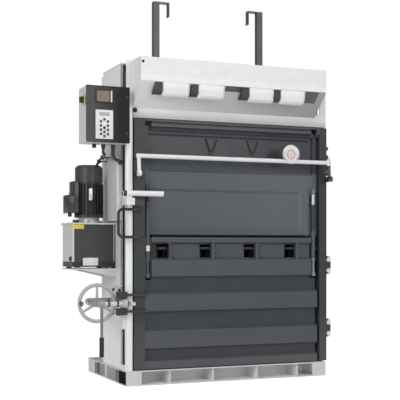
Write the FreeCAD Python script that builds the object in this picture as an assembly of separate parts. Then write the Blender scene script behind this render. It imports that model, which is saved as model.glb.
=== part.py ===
"""Vertical recycling baler with a slide-up loading flap, millimetres, +Z up.

Origin: on the floor, at the centre of the rectangular base frame. The front faces -Y,
the control cabinet, power pack and door lock are on the left (-X), the hinges on the right.
"""
import FreeCAD
import Part
import math
import os

V = FreeCAD.Vector

# ---- base and body -------------------------------------------------------------------
CHAMBER_W = 1200.0
WALL_T = 55.0
SIDE_BAY = 45.0
FRAME_D = 840.0
BODY_D = 670.0
BASE_H = 95.0
LOCK_TIE_Z0 = 350.0
LOCK_TIE_Z1 = 440.0
HEAD_TOP = 2009.0
BEAM_D = 160.0
BEAM_WALL = 8.0
CLOSER_W = 100.0
CROSS_TUBE_W = 70.0
CROSS_TUBE_AHEAD = 268.0
RAIL_W = 60.0
ANCHOR_SIDE = 140.0
ANCHOR_INSET = 70.0
ANCHOR_R = 9.0
FLOOR_T = 55.0
GROOVE_W = 40.0
GROOVE_D = 35.0
STRAP_INNER = 155.0
STRAP_OUTER = 450.0
WALL_PLATE = 10.0
WALL_SKIN = 5.0
WALL_STRIP = 12.0
BACK_SKIN = 10.0
BACK_RIB = 25.0
BACK_RIB_H = 50.0
BACK_RIB_Z = (150.0, 450.0, 760.0, 1000.0, 1300.0, 1600.0)
POST_W = 45.0
POST_D = 35.0
POST_WALL = 5.0
POST_TIES = ((BASE_H, 130.0), (LOCK_TIE_Z0, LOCK_TIE_Z1), (1120.0, 1190.0), (1660.0, 1720.0))
COLUMN_BACK = 85.0
COLUMN_D = 400.0
COLUMN_RIB = 6.0
COLUMN_T = 4.0
COLUMN_LIP = 3.0

# ---- door ----------------------------------------------------------------------------
DOOR_GAP = 5.0
DOOR_SEAL = 5.0
DOOR_WALL = 5.0
DOOR_D = 100.0
DOOR_Z0 = 102.0
DOOR_Z1 = 1655.0
STILE_W = 72.0
STILE_R_W = 53.0
STILE_R_OUT = 7.0
STILE_D = 80.0
TOP_RAIL_H = 45.0
GROOVE_R = 18.0
PANEL_Z1 = 922.0
PANEL_T = 5.0
RECESS = 28.0
BEVEL = 14.0
BEAMS = ((102.0, 150.0), (230.0, 338.0), (462.0, 566.0), (678.0, 779.0), (891.0, 922.0))
STRAP_SLOT_W = 34.0
WINDOW_LEFT = 47.0
WINDOW_RIGHT = 28.0
RIB_W = 16.0
RIB_OFFSET = 36.0
STRAP_ROD_R = 8.0
STRAP_ROD_GAP = 2.0
STRAP_ROD_RISE = 18.0
RIB_GAP = 3.0
BEARER_T = 8.0
BEARER_UP = (20.0, 50.0, 50.0, 50.0, 10.0)
STRAP_CUT = 12.0

# ---- loading flap and its struts -----------------------------------------------------
FLAP_Z0 = 932.0
FLAP_Z1 = 1618.0
FLAP_BACK = 34.0
FLAP_D = 36.0
FLAP_EDGE = 30.0
FLAP_TRAVEL = 390.0
FLAP_SIDE_GAP = 4.0
SHEET_BACK = 18.0
SHEET_T = 6.0
BAND_BACK = 4.0
BAND_SLOPE = 16.0
FOLD_W = 130.0
POCKET_X = (-122.0, 162.0)
POCKET_TOP = 66.0
POCKET_POINT = 190.0
POCKET_HALF = 40.0
POCKET_TIP = 8.0
POCKET_D = 4.0
POCKET_HOLE_R = 12.0
BAND_Z0 = 1228.0
BAND_Z1 = 1333.0
STRUT_TOP = 1240.0
STRUT_SPLIT = 1142.0
STRUT_FOOT = 668.0
STRUT_R = 14.0
STRUT_ROD_R = 9.0
STRUT_INSET = 22.0
STRUT_BACK = 3.0
STRUT_SINK = 14.0
STRUT_EYE = 12.0

# ---- hinges --------------------------------------------------------------------------
HINGE_OUT = 27.0
HINGE_BACK = 15.0
HINGE_Z = (320.0, 740.0, 1400.0)
HINGE_FOOT_BACK = 110.0
HINGE_FOOT_H = 120.0
HINGE_FOOT_D = 75.0
HINGE_FOOT_T = 12.0
KNUCKLE_R = 18.0
KNUCKLE_H = 44.0
FORK_KNUCKLE_H = 24.0
KNUCKLE_CLEAR = 0.5
LEAF_T = 10.0
HINGE_NUT_H = 14.0
HINGE_NUT_W = 27.0
HINGE_PIN_R = 9.0

# ---- header, hood and head -----------------------------------------------------------
HEADER_Z1 = 1720.0
HEADER_T = 18.0
HEADER_GAP = 4.0
UPRIGHT_T = 6.0
HEADER_BAR_H = 20.0
HOOD_DEPTH = 156.0
HOOD_Z0 = 1865.0
HOOD_LEFT = 40.0
HOOD_RIGHT = 85.0
HOOD_T = 3.0
SCOOP_LEFT = (268.0, 498.0)
SCOOP_RIGHT = (562.0, 332.0)
SCOOP_W = 190.0
SCOOP_Z0 = 1776.0
SCOOP_T = 4.0
HEAD_BACK = 90.0
HEAD_BEAM_T = 6.0
HEAD_BEAM_W = 90.0
HEAD_BEAM_H = 140.0
HEAD_PLATE_T = 9.0

# ---- ram -----------------------------------------------------------------------------
GUIDE_X = 378.0
GUIDE_BACK = 360.0
GUIDE_W = 40.0
GUIDE_WALL = 4.0
GUIDE_CAP = 8.0
GUIDE_TOP = 2480.0
GUIDE_ARM = 70.0
ARM_TIP_T = 6.0
ARM_TIP_H = 95.0
TIP_GAP = 5.0
SLEEVE_WALL = 6.0
SLEEVE_GAP = 0.3
SLEEVE_H = 150.0
FLANGE_W = 14.0
FLANGE_T = 12.0
PLATE_CLEAR = 3.0
PLATEN_Z0 = 1600.0
PLATEN_T = 12.0
PLATEN_RIB = 46.0
PLATEN_RIB_T = 12.0
PLATEN_EDGE = 10.0
PLATEN_GROOVE = 5.0
WELD = 1.0
PLATEN_GAP = 10.0
PLATEN_BACK_GAP = 15.0
CYL_OFFSET = 90.0
CYL_PIVOT_IN = 50.0
CYL_PIVOT_Z = 1930.0
ROD_EYE_IN = 90.0
ROD_EYE_Z = 1780.0
BARREL_R = 45.0
BARREL_START = 55.0
BARREL_END = 800.0
ROD_R = 19.0
EYE_R = 32.0
EYE_W = 40.0
CHEEK_T = 12.0
CHEEK_GAP = 1.0
CLEVIS_HALF = 30.0
CLEVIS_TOP = 34.0
BRACKET_HALF = 45.0
BRACKET_TIP = 28.0
BRACKET_DROP = 26.0
CYL_PIN_R = 16.0
FIT = 0.05
BEND_STEPS = 3

# ---- retaining claws in the back wall ------------------------------------------------
CLAW_Z = 1110.0
CLAW_REACH = 40.0
CLAW_SHAFT_R = 9.0
CLAW_SHAFT_GAP = 2.0
CLAW_SHAFT_END = (20.0, 100.0)
CLAW_HALF = 14.0
CLAW_TIP = (16.0, 24.0)
CLAW_HEEL = 4.0
CLAW_SIDE = 40.0
CLAW_T = 16.0
CLAW_SLOT_GAP = 6.0
CLAW_SLOT = (50.0, 32.0)
CLAW_EAR_IN = 120.0
CLAW_EAR_HALF = 8.0
CLAW_EAR_H = 18.0

# ---- power pack ----------------------------------------------------------------------
TANK_GAP = 3.0
TANK_L = 285.0
TANK_BACK = 200.0
TANK_D = 270.0
TANK_Z0 = 735.0
TANK_Z1 = 1012.0
TANK_WALL = 4.0
TANK_RIM = 6.0
TANK_LID = 10.0
TANK_ROUND = 12.0
CAP_IN = 32.0
CAP_BACK = 36.0
CAP_R = 18.0
CAP_H = 22.0
SHELF_T = 8.0
SHELF_DROP = 10.0
SHELF_LIP = 5.0
SHELF_BRACKET = 60.0
PAD_W = 30.0
MOTOR_OUT = 142.0
MOTOR_BACK = 335.0
MOTOR_R = 92.0
MOTOR_CORE_R = 76.0
MOTOR_Z0 = 1046.0
MOTOR_Z1 = 1272.0
SHIELD_H = 18.0
COLLAR_H = 14.0
COLLAR_IN = 8.0
MOTOR_FLANGE_R = 84.0
MOTOR_BELL_R = 66.0
MOTOR_BELL_BORE = 40.0
MOTOR_FLANGE_T = 14.0
FAN_Z1 = 1380.0
FAN_WALL = 4.0
FAN_BEVEL = 16.0
FAN_SLOTS = 10
FAN_SLOT_R0 = 24.0
FAN_SLOT_R1 = 62.0
FAN_SLOT_W = 10.0
FIN_COUNT = 24
FIN_T = 4.0
FIN_INSET = (12.0, 10.0)
FAN_COVER_IN = 4.0
FAN_HUB_R = 24.0
FAN_HUB_Z = (12.0, 60.0)
BLADE_COUNT = 6
BLADE_R = (18.0, 70.0)
BLADE_Z = (14.0, 56.0)
BLADE_T = 4.0
SHAFT_GAP = 20.0
TERMINAL_L = 66.0
TERMINAL_HALF_W = 52.0
TERMINAL_HALF_H = 50.0
TERMINAL_RISE = 20.0
TERMINAL_ROUND = 8.0
SADDLE_HALF_W = 30.0
SADDLE_HALF_H = 36.0
SADDLE_T = 8.0
SADDLE_GAP = 2.0
TERMINAL_GLAND_R = 12.0
TERMINAL_GLAND_H = 26.0
SHAFT_R = 12.0

# ---- control cabinet -----------------------------------------------------------------
CAB_W = 271.0
CAB_AHEAD = 66.0
CAB_D = 177.0
CAB_Z0 = 1490.0
CAB_Z1 = 1830.0
CAB_COVER = 14.0
CAB_GAP = 0.3
CAB_WALL = 3.0
CAB_INSET = 2.0
SWITCH_AHEAD = 20.0
SWITCH_Z = 1745.0
SWITCH_BASE_R = 26.0
SWITCH_BASE_T = 6.0
SWITCH_R = 20.0
SWITCH_T = 12.0
SWITCH_GAP = 0.5
SWITCH_PIN_R = 8.0
SWITCH_GRIP_H = 18.0
SWITCH_GRIP_T = 15.0
SWITCH_GRIP_W = 5.0
DISPLAY_X = (62.0, 142.0)
DISPLAY_Z = (245.0, 310.0)
DISPLAY_T = 3.0
KEYPAD_X = (55.0, 165.0)
KEYPAD_Z = (20.0, 195.0)
KEYPAD_T = 2.5
GLAND_OUT = (73.0, 135.0, 193.0)
GLAND_BACK = 42.0
GLAND_H = 24.0
GLAND_R = 13.0
CONDUIT_R = 11.0
CONDUIT_Z = 1384.0
CONDUIT_BEND = 30.0
CONDUIT_DROP = 20.0
CONDUIT_RUN = 60.0
DUCT_D = 30.0
DUCT_BACK = 90.0
DUCT_W = 236.0
DUCT_Z0 = 1025.0
DUCT_Z1 = 1425.0
DUCT_BEVEL = 10.0

# ---- door lock on the left side ------------------------------------------------------
LOCK_Z = 515.0
LOCK_SHAFT_AHEAD = 60.0
LOCK_SHAFT_R = 15.0
LOCK_SHAFT_OUT = 190.0
LOCK_SHAFT_IN = 22.0
LUG_AHEAD = 35.0
LUG_OUT = 70.0
LUG_W = 66.0
LUG_ARM_Y = (8.0, 16.0)
LUG_H = 42.0
LUG_ARM_H = 14.0
LUG_GAP = 60.0
CLAW_ARM = 66.0
CLAW_TOP = 11.0
CLAW_ROOT = 12.0
CLAW_END = 8.0
CLAW_OUT = 6.0
CLAW_W = 24.0
DRAW_OUT = 30.0
BAR_HALF = 15.0
BAR_CLEAR = 0.4
BAR_EYE_R = 25.0
NUT_R = 24.0
NUT_T = 24.0
BAR_START = 5.0
LOCK_PLATE_T = 12.0
LOCK_PLATE_D = 160.0
LOCK_PLATE_HALF = 95.0
LOCK_GUIDE_W = 50.0
LOCK_GUIDE_Y = (10.0, 70.0)
LOCK_GUIDE_HALF = 30.0
LOCK_ARM_T = 20.0
LOCK_ARM_HALF = 26.0
LOCK_BOSS_R = 28.0
SPINDLE_ARM_BACK = 165.0
SPINDLE_NUT_BACK = 215.0
SPINDLE_END = 45.0
WHEEL_OUT = 172.0
WHEEL_BACK = 50.0
WHEEL_HUB_R = 25.0
WHEEL_HUB_Y = (12.0, 40.0)
WHEEL_R = 123.0
RIM_R = 12.0
SPOKE_R = 8.0
STUD_R = 5.0
KNOB_R = 14.0
KNOB_GAP = 13.0
KNOB_LEN = 31.0
KNOB_NECK = 3.0
KNOB_NECK_L = 6.0
KNOB_IN = 4.0
STUD_TAIL = 2.0
LEVER_OUT = 176.0
LEVER_HUB_R = 23.0
LEVER_HUB_L = 28.0
LEVER_LEN = 200.0
LEVER_R = 9.0
LEVER_SOCKET = 60.0
GRIP_LEN = 120.0
GRIP_R = 15.0
GRIP_BEVEL = 4.0
SPINDLE_R = 12.0

# ---- latch handle and bow on the door front ------------------------------------------
LATCH_OUT = 8.0
LATCH_AHEAD = 80.0
LATCH_Z0 = 1114.0
LATCH_Z1 = 1157.0
LATCH_HALF = 27.0
LATCH_COLLAR_R = 19.0
SPINDLE_TAIL = 12.0
LATCH_SPINDLE_R = 10.0
LATCH_PLATE_T = 12.0
LATCH_PLATE_IN = 8.0
POST_CLEAR = 3.0
LOOP_OUT = 62.0
LOOP_AHEAD = 35.0
LOOP_Z = (921.0, 1090.0)
LOOP_ROOT_IN = 88.0
LOOP_R = 6.5
LOOP_BEND = 28.0
HANDLE_Z = 1186.0
HANDLE_R = 17.0
HANDLE_LEFT = 44.0
HANDLE_RIGHT = 218.0
HANDLE_WALL = 3.0
HANDLE_END = 4.0
HANDLE_SEAT = 1.0
BOW_Z = 1418.0
BOW_AHEAD = 60.0
BOW_R = 13.5
BOW_EYE_R = 18.0
BOW_PIN_R = 8.0
BOW_PIVOT_Z = 1310.0
BOW_PIVOT_AHEAD = 72.0
BOW_END = (10.0, 20.0)
BOW_EYE_HALF = 11.0
BOW_EYE_GAP = 1.5
FORK_T = 6.0
FORK_D = 14.0
FORK_HALF = 16.0
SIGN_IN = 300.0
SIGN_T = 3.0
CLAMP_HALF = 14.0
CLAMP_Z = (16.0, 20.0)
SIGN_Z = 1470.0
SIGN_R = 55.0

# ---- places worked out from the sizes ------------------------------------------------
WALL_OUTER = CHAMBER_W / 2 + WALL_T
LEFT = -WALL_OUTER - SIDE_BAY
RIGHT = -LEFT
FRONT = -FRAME_D / 2
BACK = FRAME_D / 2
BODY_BACK = FRONT + BODY_D
CHAMBER_FRONT = FRONT + DOOR_D + DOOR_SEAL
CHAMBER_BACK = BODY_BACK - BACK_SKIN - BACK_RIB
CROSS_TUBE_Y = BACK - CROSS_TUBE_AHEAD
ANCHOR_X = RIGHT - ANCHOR_SIDE
STRAP_X = (-STRAP_OUTER, -STRAP_INNER, STRAP_INNER, STRAP_OUTER)
COLUMN_Y0 = FRONT + COLUMN_BACK
COLUMN_Y1 = COLUMN_Y0 + COLUMN_D
FLOOR_TOP = BASE_H + FLOOR_T
DOOR_LEFT = LEFT + POST_W + DOOR_GAP
DOOR_RIGHT = RIGHT + STILE_R_OUT
PANEL_LEFT = DOOR_LEFT + STILE_W
STILE_R_LEFT = DOOR_RIGHT - STILE_R_W
PANEL_RIGHT = STILE_R_LEFT - GROOVE_R
STRUT_X = (PANEL_LEFT + STRUT_INSET, PANEL_RIGHT - STRUT_INSET)
STRUT_Y = FRONT + STRUT_R + STRUT_BACK
FLAP_Y = FRONT + FLAP_BACK
HINGE_X = RIGHT + HINGE_OUT
HINGE_Y = FRONT + HINGE_BACK
HINGE_FOOT_Y = FRONT + HINGE_FOOT_BACK
SCOOP_X = tuple(LEFT + x for x in SCOOP_LEFT) + tuple(RIGHT - x for x in SCOOP_RIGHT)
HEAD_Y0 = FRONT + HEAD_BACK
HEAD_Z0 = HEAD_TOP - HEAD_PLATE_T - HEAD_BEAM_H
GUIDE_Y = FRONT + GUIDE_BACK
CYL_PIVOT_X = CHAMBER_W / 2 - CYL_PIVOT_IN
ROD_EYE_X = CHAMBER_W / 2 - ROD_EYE_IN
CLAW_SHAFT_Y = CHAMBER_BACK + BACK_SKIN + CLAW_SHAFT_R + CLAW_SHAFT_GAP
TANK_X1 = LEFT - TANK_GAP
TANK_X0 = TANK_X1 - TANK_L
TANK_Y0 = FRONT + TANK_BACK
TANK_Y1 = TANK_Y0 + TANK_D
MOTOR_X = LEFT - MOTOR_OUT
MOTOR_Y = FRONT + MOTOR_BACK
CAB_X0 = LEFT - CAB_W
CAB_Y0 = FRONT - CAB_AHEAD
CAB_Y1 = CAB_Y0 + CAB_D
SWITCH_X = CAB_X0 - SWITCH_BASE_T - SWITCH_GAP
SWITCH_Y = FRONT - SWITCH_AHEAD
GLAND_X = tuple(LEFT - x for x in GLAND_OUT)
GLAND_Y = FRONT + GLAND_BACK
DUCT_Y0 = FRONT + DUCT_BACK
DUCT_Y1 = DUCT_Y0 + DUCT_W
LOCK_SHAFT_X0 = LEFT - LOCK_SHAFT_OUT
LOCK_SHAFT_Y = FRONT - LOCK_SHAFT_AHEAD
LUG_X0 = LEFT - LUG_OUT
LUG_X1 = LUG_X0 + LUG_W
LUG_Y0 = FRONT - LUG_AHEAD
DRAW_X = LEFT - DRAW_OUT
SPINDLE_ARM_Y = FRONT + SPINDLE_ARM_BACK
SPINDLE_NUT_Y = FRONT + SPINDLE_NUT_BACK
WHEEL_X = LEFT - WHEEL_OUT
WHEEL_Y = FRONT + WHEEL_BACK
RIM_MID = WHEEL_R - RIM_R
KNOB_X = WHEEL_X - RIM_MID + KNOB_IN
LEVER_X = LEFT - LEVER_OUT
LATCH_X = LEFT - LATCH_OUT
LATCH_Y = FRONT - LATCH_AHEAD
LOOP_X = LEFT - LOOP_OUT
LOOP_Y = FRONT - LOOP_AHEAD
LOOP_ROOT_X = LEFT + LOOP_ROOT_IN
BOW_X = (DOOR_LEFT + BOW_END[0], DOOR_RIGHT - BOW_END[1])
BOW_Y = FRONT - BOW_AHEAD
BOW_PIVOT_Y = FRONT - BOW_PIVOT_AHEAD
SIGN_X = RIGHT - SIGN_IN


# ---- helpers -------------------------------------------------------------------------
def box(x0, x1, y0, y1, z0, z1):
    return Part.makeBox(x1 - x0, y1 - y0, z1 - z0, V(x0, y0, z0))


def rod(start, end, radius):
    axis = V(*end) - V(*start)
    return Part.makeCylinder(radius, axis.Length, V(*start), axis)


def ring(start, end, outer, inner):
    return rod(start, end, outer).cut(rod(start, end, inner))


def prism_x(points, x0, x1):
    """A closed outline of (y, z) points, extruded from x0 to x1."""
    wire = Part.makePolygon([V(x0, y, z) for y, z in points + points[:1]])
    return Part.Face(wire).extrude(V(x1 - x0, 0, 0))


def prism_y(points, y0, y1):
    """A closed outline of (x, z) points, extruded from y0 to y1."""
    wire = Part.makePolygon([V(x, y0, z) for x, z in points + points[:1]])
    return Part.Face(wire).extrude(V(0, y1 - y0, 0))


def prism_z(points, z0, z1):
    """A closed outline of (x, y) points, extruded from z0 to z1."""
    wire = Part.makePolygon([V(x, y, z0) for x, y in points + points[:1]])
    return Part.Face(wire).extrude(V(0, 0, z1 - z0))


def turned_y(outline, x, z):
    """A closed outline of (radius, y) points, turned about the line through (x, z) along Y."""
    wire = Part.makePolygon([V(x + radius, y, z) for radius, y in outline + outline[:1]])
    return Part.Face(wire).revolve(V(x, 0, z), V(0, 1, 0), 360)


def turned_z(outline, x, y):
    """A closed outline of (radius, z) points, turned about the upright line through (x, y)."""
    wire = Part.makePolygon([V(x + radius, y, z) for radius, z in outline + outline[:1]])
    return Part.Face(wire).revolve(V(x, y, 0), V(0, 0, 1), 360)


def bent_rod(points, bend, radius):
    """Round bar along straight runs between points, each corner bent in a few short mitred steps."""
    path = [points[0]]
    for before, corner, after in zip(points, points[1:], points[2:]):
        back = (before - corner).normalize()
        ahead = (after - corner).normalize()
        turn = math.pi - back.getAngle(ahead)
        first = corner + back * (bend * math.tan(turn / 2))
        centre = corner + (back + ahead).normalize() * (bend / math.cos(turn / 2))
        axis = (first - centre).cross(corner - centre)
        for step in range(BEND_STEPS + 1):
            part_turn = FreeCAD.Rotation(axis, math.degrees(turn * step / BEND_STEPS))
            path.append(centre + part_turn.multVec(first - centre))
    path.append(points[-1])
    section = Part.Wire([Part.Circle(points[0], points[1] - points[0], radius).toShape()])
    return Part.makePolygon(path).makePipeShell([section], True, False, 1)


def fuse(shapes):
    joined = shapes[0].multiFuse(shapes[1:])
    return joined.removeSplitter()


def group(shapes):
    return Part.makeCompound(shapes)


def mirror_x(shape):
    return shape.mirror(V(0, 0, 0), V(1, 0, 0))


def hex_nut(x, y, z0, z1, across):
    radius = across / math.sqrt(3)
    corners = [(x + radius * math.cos(math.radians(60 * i)), y + radius * math.sin(math.radians(60 * i)))
               for i in range(6)]
    return prism_z(corners, z0, z1)


# ---- base frame ----------------------------------------------------------------------
def base_front_beam():
    """Channel that lies open to the front, with a closing plate and gussets."""
    outline = [(FRONT, 0), (FRONT + BEAM_D, 0), (FRONT + BEAM_D, BASE_H), (FRONT, BASE_H),
               (FRONT, BASE_H - BEAM_WALL), (FRONT + BEAM_D - BEAM_WALL, BASE_H - BEAM_WALL),
               (FRONT + BEAM_D - BEAM_WALL, BEAM_WALL), (FRONT, BEAM_WALL)]
    parts = [prism_x(outline, LEFT, RIGHT)]
    for x in (LEFT, RIGHT - CLOSER_W):
        parts.append(box(x, x + CLOSER_W, FRONT, FRONT + BEAM_WALL, 0, BASE_H))
    for x in STRAP_X:
        parts.append(box(x + RIB_OFFSET, x + RIB_OFFSET + BEAM_WALL, FRONT + 6, FRONT + BEAM_D - 2,
                         BEAM_WALL / 2, BASE_H - BEAM_WALL / 2))
    beam = fuse(parts)
    for x in (-ANCHOR_X, ANCHOR_X):
        beam = beam.cut(rod((x, FRONT + ANCHOR_INSET, -1), (x, FRONT + ANCHOR_INSET, BEAM_WALL + 1), ANCHOR_R))
    return beam


def base_rear_beam():
    """Channel open to the rear with end plates."""
    outline = [(BACK, 0), (BACK - BEAM_D, 0), (BACK - BEAM_D, BASE_H), (BACK, BASE_H),
               (BACK, BASE_H - BEAM_WALL), (BACK - BEAM_D + BEAM_WALL, BASE_H - BEAM_WALL),
               (BACK - BEAM_D + BEAM_WALL, BEAM_WALL), (BACK, BEAM_WALL)]
    parts = [prism_x(outline, LEFT, RIGHT)]
    for x in (LEFT, RIGHT - BEAM_WALL):
        parts.append(box(x, x + BEAM_WALL, BACK - BEAM_D, BACK, 0, BASE_H))
    beam = fuse(parts)
    for x in (-ANCHOR_X, ANCHOR_X):
        beam = beam.cut(rod((x, BACK - ANCHOR_INSET, -1), (x, BACK - ANCHOR_INSET, BEAM_WALL + 1), ANCHOR_R))
    return beam


def base_side_rails():
    """Cross tube with open ends, and an angle along each side between the beams."""
    y0 = CROSS_TUBE_Y - CROSS_TUBE_W / 2
    y1 = CROSS_TUBE_Y + CROSS_TUBE_W / 2
    tube = box(LEFT, RIGHT, y0, y1, 0, BASE_H)
    tube = tube.cut(box(LEFT, RIGHT, y0 + BEAM_WALL, y1 - BEAM_WALL, BEAM_WALL, BASE_H - BEAM_WALL))
    parts = [tube]
    for start, end in ((FRONT + BEAM_D, y0), (y1, BACK - BEAM_D)):
        web = box(LEFT, LEFT + BEAM_WALL, start, end, 0, BASE_H)
        flange = box(LEFT, LEFT + RAIL_W, start, end, BASE_H - BEAM_WALL, BASE_H)
        angle = fuse([web, flange])
        parts += [angle, mirror_x(angle)]
    return group(parts)


# ---- chamber -------------------------------------------------------------------------
def chamber_floor():
    """Thick floor with four grooves for the baling straps."""
    half = CHAMBER_W / 2
    slab = box(-half, half, CHAMBER_FRONT, CHAMBER_BACK, BASE_H, FLOOR_TOP)
    for x in STRAP_X:
        slab = slab.cut(box(x - GROOVE_W / 2, x + GROOVE_W / 2, CHAMBER_FRONT, CHAMBER_BACK,
                            FLOOR_TOP - GROOVE_D, FLOOR_TOP))
    return slab


def side_wall():
    """Left chamber wall: inner plate, outer skin and the closing strip at the door."""
    inner = box(-CHAMBER_W / 2 - WALL_PLATE, -CHAMBER_W / 2, CHAMBER_FRONT, BODY_BACK, BASE_H, HEAD_Z0)
    outer = box(-WALL_OUTER, -WALL_OUTER + WALL_SKIN, CHAMBER_FRONT, BODY_BACK, BASE_H, HEAD_TOP - HEAD_PLATE_T)
    parts = [inner, outer]
    for y in (CHAMBER_FRONT, COLUMN_Y1, BODY_BACK - WALL_STRIP):
        parts.append(box(-WALL_OUTER, -CHAMBER_W / 2, y, y + WALL_STRIP, BASE_H, HEAD_Z0))
    return fuse(parts)


def left_side_wall():
    return side_wall()


def right_side_wall():
    return mirror_x(side_wall())


def side_columns():
    """Folded column outside each wall that carries the lock, tank and head."""
    left = side_column(COLUMN_Y0)
    lip = box(LEFT + COLUMN_T, -WALL_OUTER - COLUMN_LIP, CHAMBER_FRONT, CHAMBER_FRONT + COLUMN_T,
              BASE_H, HEAD_TOP - HEAD_PLATE_T)
    right = fuse([side_column(CHAMBER_FRONT), lip])
    return group([left, mirror_x(right)])


def side_column(front):
    """One folded column on the left, open towards the front, whose front edge is at the given depth."""
    outline = [(LEFT, front), (LEFT, COLUMN_Y1), (-WALL_OUTER, COLUMN_Y1),
               (-WALL_OUTER, COLUMN_Y1 - COLUMN_T), (LEFT + COLUMN_T, COLUMN_Y1 - COLUMN_T),
               (LEFT + COLUMN_T, front)]
    column = prism_z(outline, BASE_H, HEAD_TOP - HEAD_PLATE_T)
    rib_y = (front + COLUMN_Y1 - COLUMN_RIB) / 2
    rib = box(LEFT + COLUMN_T, -WALL_OUTER, rib_y, rib_y + COLUMN_RIB, BASE_H, HEAD_TOP - HEAD_PLATE_T)
    return fuse([column, rib])


def left_post():
    """Front post beside the door, from the base to the header."""
    outer = box(LEFT, LEFT + POST_W, FRONT, FRONT + POST_D, BASE_H, HEADER_Z1)
    wall = POST_WALL
    post = outer.cut(box(LEFT + wall, LEFT + POST_W - wall, FRONT + wall, FRONT + POST_D - wall,
                         BASE_H, HEADER_Z1))
    ties = [box(LEFT, LEFT + POST_W - wall, FRONT + POST_D - wall, COLUMN_Y0, z0, z1) for z0, z1 in POST_TIES]
    return fuse([post] + ties)


def back_wall():
    """Rear plate with outside ribs, claw slots and the claws' bearing ears."""
    half = CHAMBER_W / 2
    plate = box(-half, half, CHAMBER_BACK, CHAMBER_BACK + BACK_SKIN, BASE_H, HEAD_Z0)
    parts = [plate]
    for z in BACK_RIB_Z:
        parts.append(box(-half, half, CHAMBER_BACK + BACK_SKIN, BODY_BACK, z, z + BACK_RIB_H))
    for x in (STRAP_X[0] + CLAW_EAR_IN, STRAP_X[3] - CLAW_EAR_IN):
        x0 = x - CLAW_EAR_HALF
        x1 = x + CLAW_EAR_HALF
        ear = box(x0, x1, CHAMBER_BACK + BACK_SKIN, BODY_BACK, CLAW_Z - CLAW_EAR_H, CLAW_Z + CLAW_EAR_H)
        parts.append(ear.cut(rod((x0, CLAW_SHAFT_Y, CLAW_Z), (x1, CLAW_SHAFT_Y, CLAW_Z), CLAW_SHAFT_R + FIT)))
    wall = fuse(parts)
    below, above = CLAW_SLOT
    for x in STRAP_X:
        x0 = x + CLAW_SIDE - CLAW_SLOT_GAP
        x1 = x + CLAW_SIDE + CLAW_T + CLAW_SLOT_GAP
        wall = wall.cut(box(x0, x1, CHAMBER_BACK, CHAMBER_BACK + BACK_SKIN, CLAW_Z - below, CLAW_Z + above))
    return wall


def retaining_claws():
    """Shaft behind the back wall with four claws that hold the compressed material down."""
    y = CLAW_SHAFT_Y
    tip = CHAMBER_BACK - CLAW_REACH
    heel = CHAMBER_BACK - CLAW_HEEL
    parts = [rod((STRAP_X[0] - CLAW_SHAFT_END[0], y, CLAW_Z), (STRAP_X[3] + CLAW_SHAFT_END[1], y, CLAW_Z),
                 CLAW_SHAFT_R)]
    for x in STRAP_X:
        outline = [(y, CLAW_Z + CLAW_HALF), (heel, CLAW_Z + CLAW_HALF), (tip, CLAW_Z - CLAW_TIP[0]),
                   (tip, CLAW_Z - CLAW_TIP[1]), (heel, CLAW_Z - CLAW_HALF), (y, CLAW_Z - CLAW_HALF)]
        parts.append(prism_x(outline, x + CLAW_SIDE, x + CLAW_SIDE + CLAW_T))
    return fuse(parts)


# ---- head, header and hood -----------------------------------------------------------
def head_beams():
    """Front and rear box beams under the head plate."""
    z1 = HEAD_TOP - HEAD_PLATE_T
    inside = -WALL_OUTER + WALL_SKIN
    wall = HEAD_BEAM_T
    parts = []
    for y in (HEAD_Y0, BODY_BACK - HEAD_BEAM_W):
        beam = box(inside, -inside, y, y + HEAD_BEAM_W, HEAD_Z0, z1)
        parts.append(beam.cut(box(inside, -inside, y + wall, y + HEAD_BEAM_W - wall, HEAD_Z0 + wall, z1 - wall)))
    return group(parts)


def head_plate():
    """Cover plate of the head, with square holes for the guide posts and slots for their arm tips."""
    outline = [(LEFT, HEAD_Y0), (RIGHT, HEAD_Y0), (RIGHT, COLUMN_Y1), (WALL_OUTER, COLUMN_Y1),
               (WALL_OUTER, BODY_BACK), (-WALL_OUTER, BODY_BACK), (-WALL_OUTER, COLUMN_Y1), (LEFT, COLUMN_Y1)]
    plate = prism_z(outline, HEAD_TOP - HEAD_PLATE_T, HEAD_TOP)
    hole = GUIDE_W / 2 + SLEEVE_GAP + PLATE_CLEAR
    for x in (-GUIDE_X, GUIDE_X):
        plate = plate.cut(box(x - hole, x + hole, GUIDE_Y - hole, GUIDE_Y + hole,
                              HEAD_TOP - HEAD_PLATE_T, HEAD_TOP))
        inward = -math.copysign(1, x)
        tip_x = x + inward * (GUIDE_W / 2 + GUIDE_ARM)
        slot = sorted((tip_x + inward * TIP_GAP, tip_x - inward * (ARM_TIP_T + TIP_GAP)))
        plate = plate.cut(box(slot[0], slot[1], GUIDE_Y - GUIDE_W / 2 - TIP_GAP, GUIDE_Y + GUIDE_W / 2 + TIP_GAP,
                              HEAD_TOP - HEAD_PLATE_T, HEAD_TOP))
    return plate


def guide_sleeves():
    """Square sleeves hung under the head plate, with a flange ring above it."""
    bore = GUIDE_W / 2 + SLEEVE_GAP
    outer = bore + SLEEVE_WALL
    top = HEAD_TOP - HEAD_PLATE_T
    parts = []
    for x in (-GUIDE_X, GUIDE_X):
        body = box(x - outer, x + outer, GUIDE_Y - outer, GUIDE_Y + outer, top - SLEEVE_H, top)
        hole = box(x - bore, x + bore, GUIDE_Y - bore, GUIDE_Y + bore, top - SLEEVE_H, HEAD_TOP + FLANGE_T)
        parts.append(body.cut(hole))
        edge = outer + FLANGE_W
        frame = box(x - edge, x + edge, GUIDE_Y - edge, GUIDE_Y + edge, HEAD_TOP, HEAD_TOP + FLANGE_T)
        parts.append(frame.cut(hole))
    return group(parts)


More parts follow.
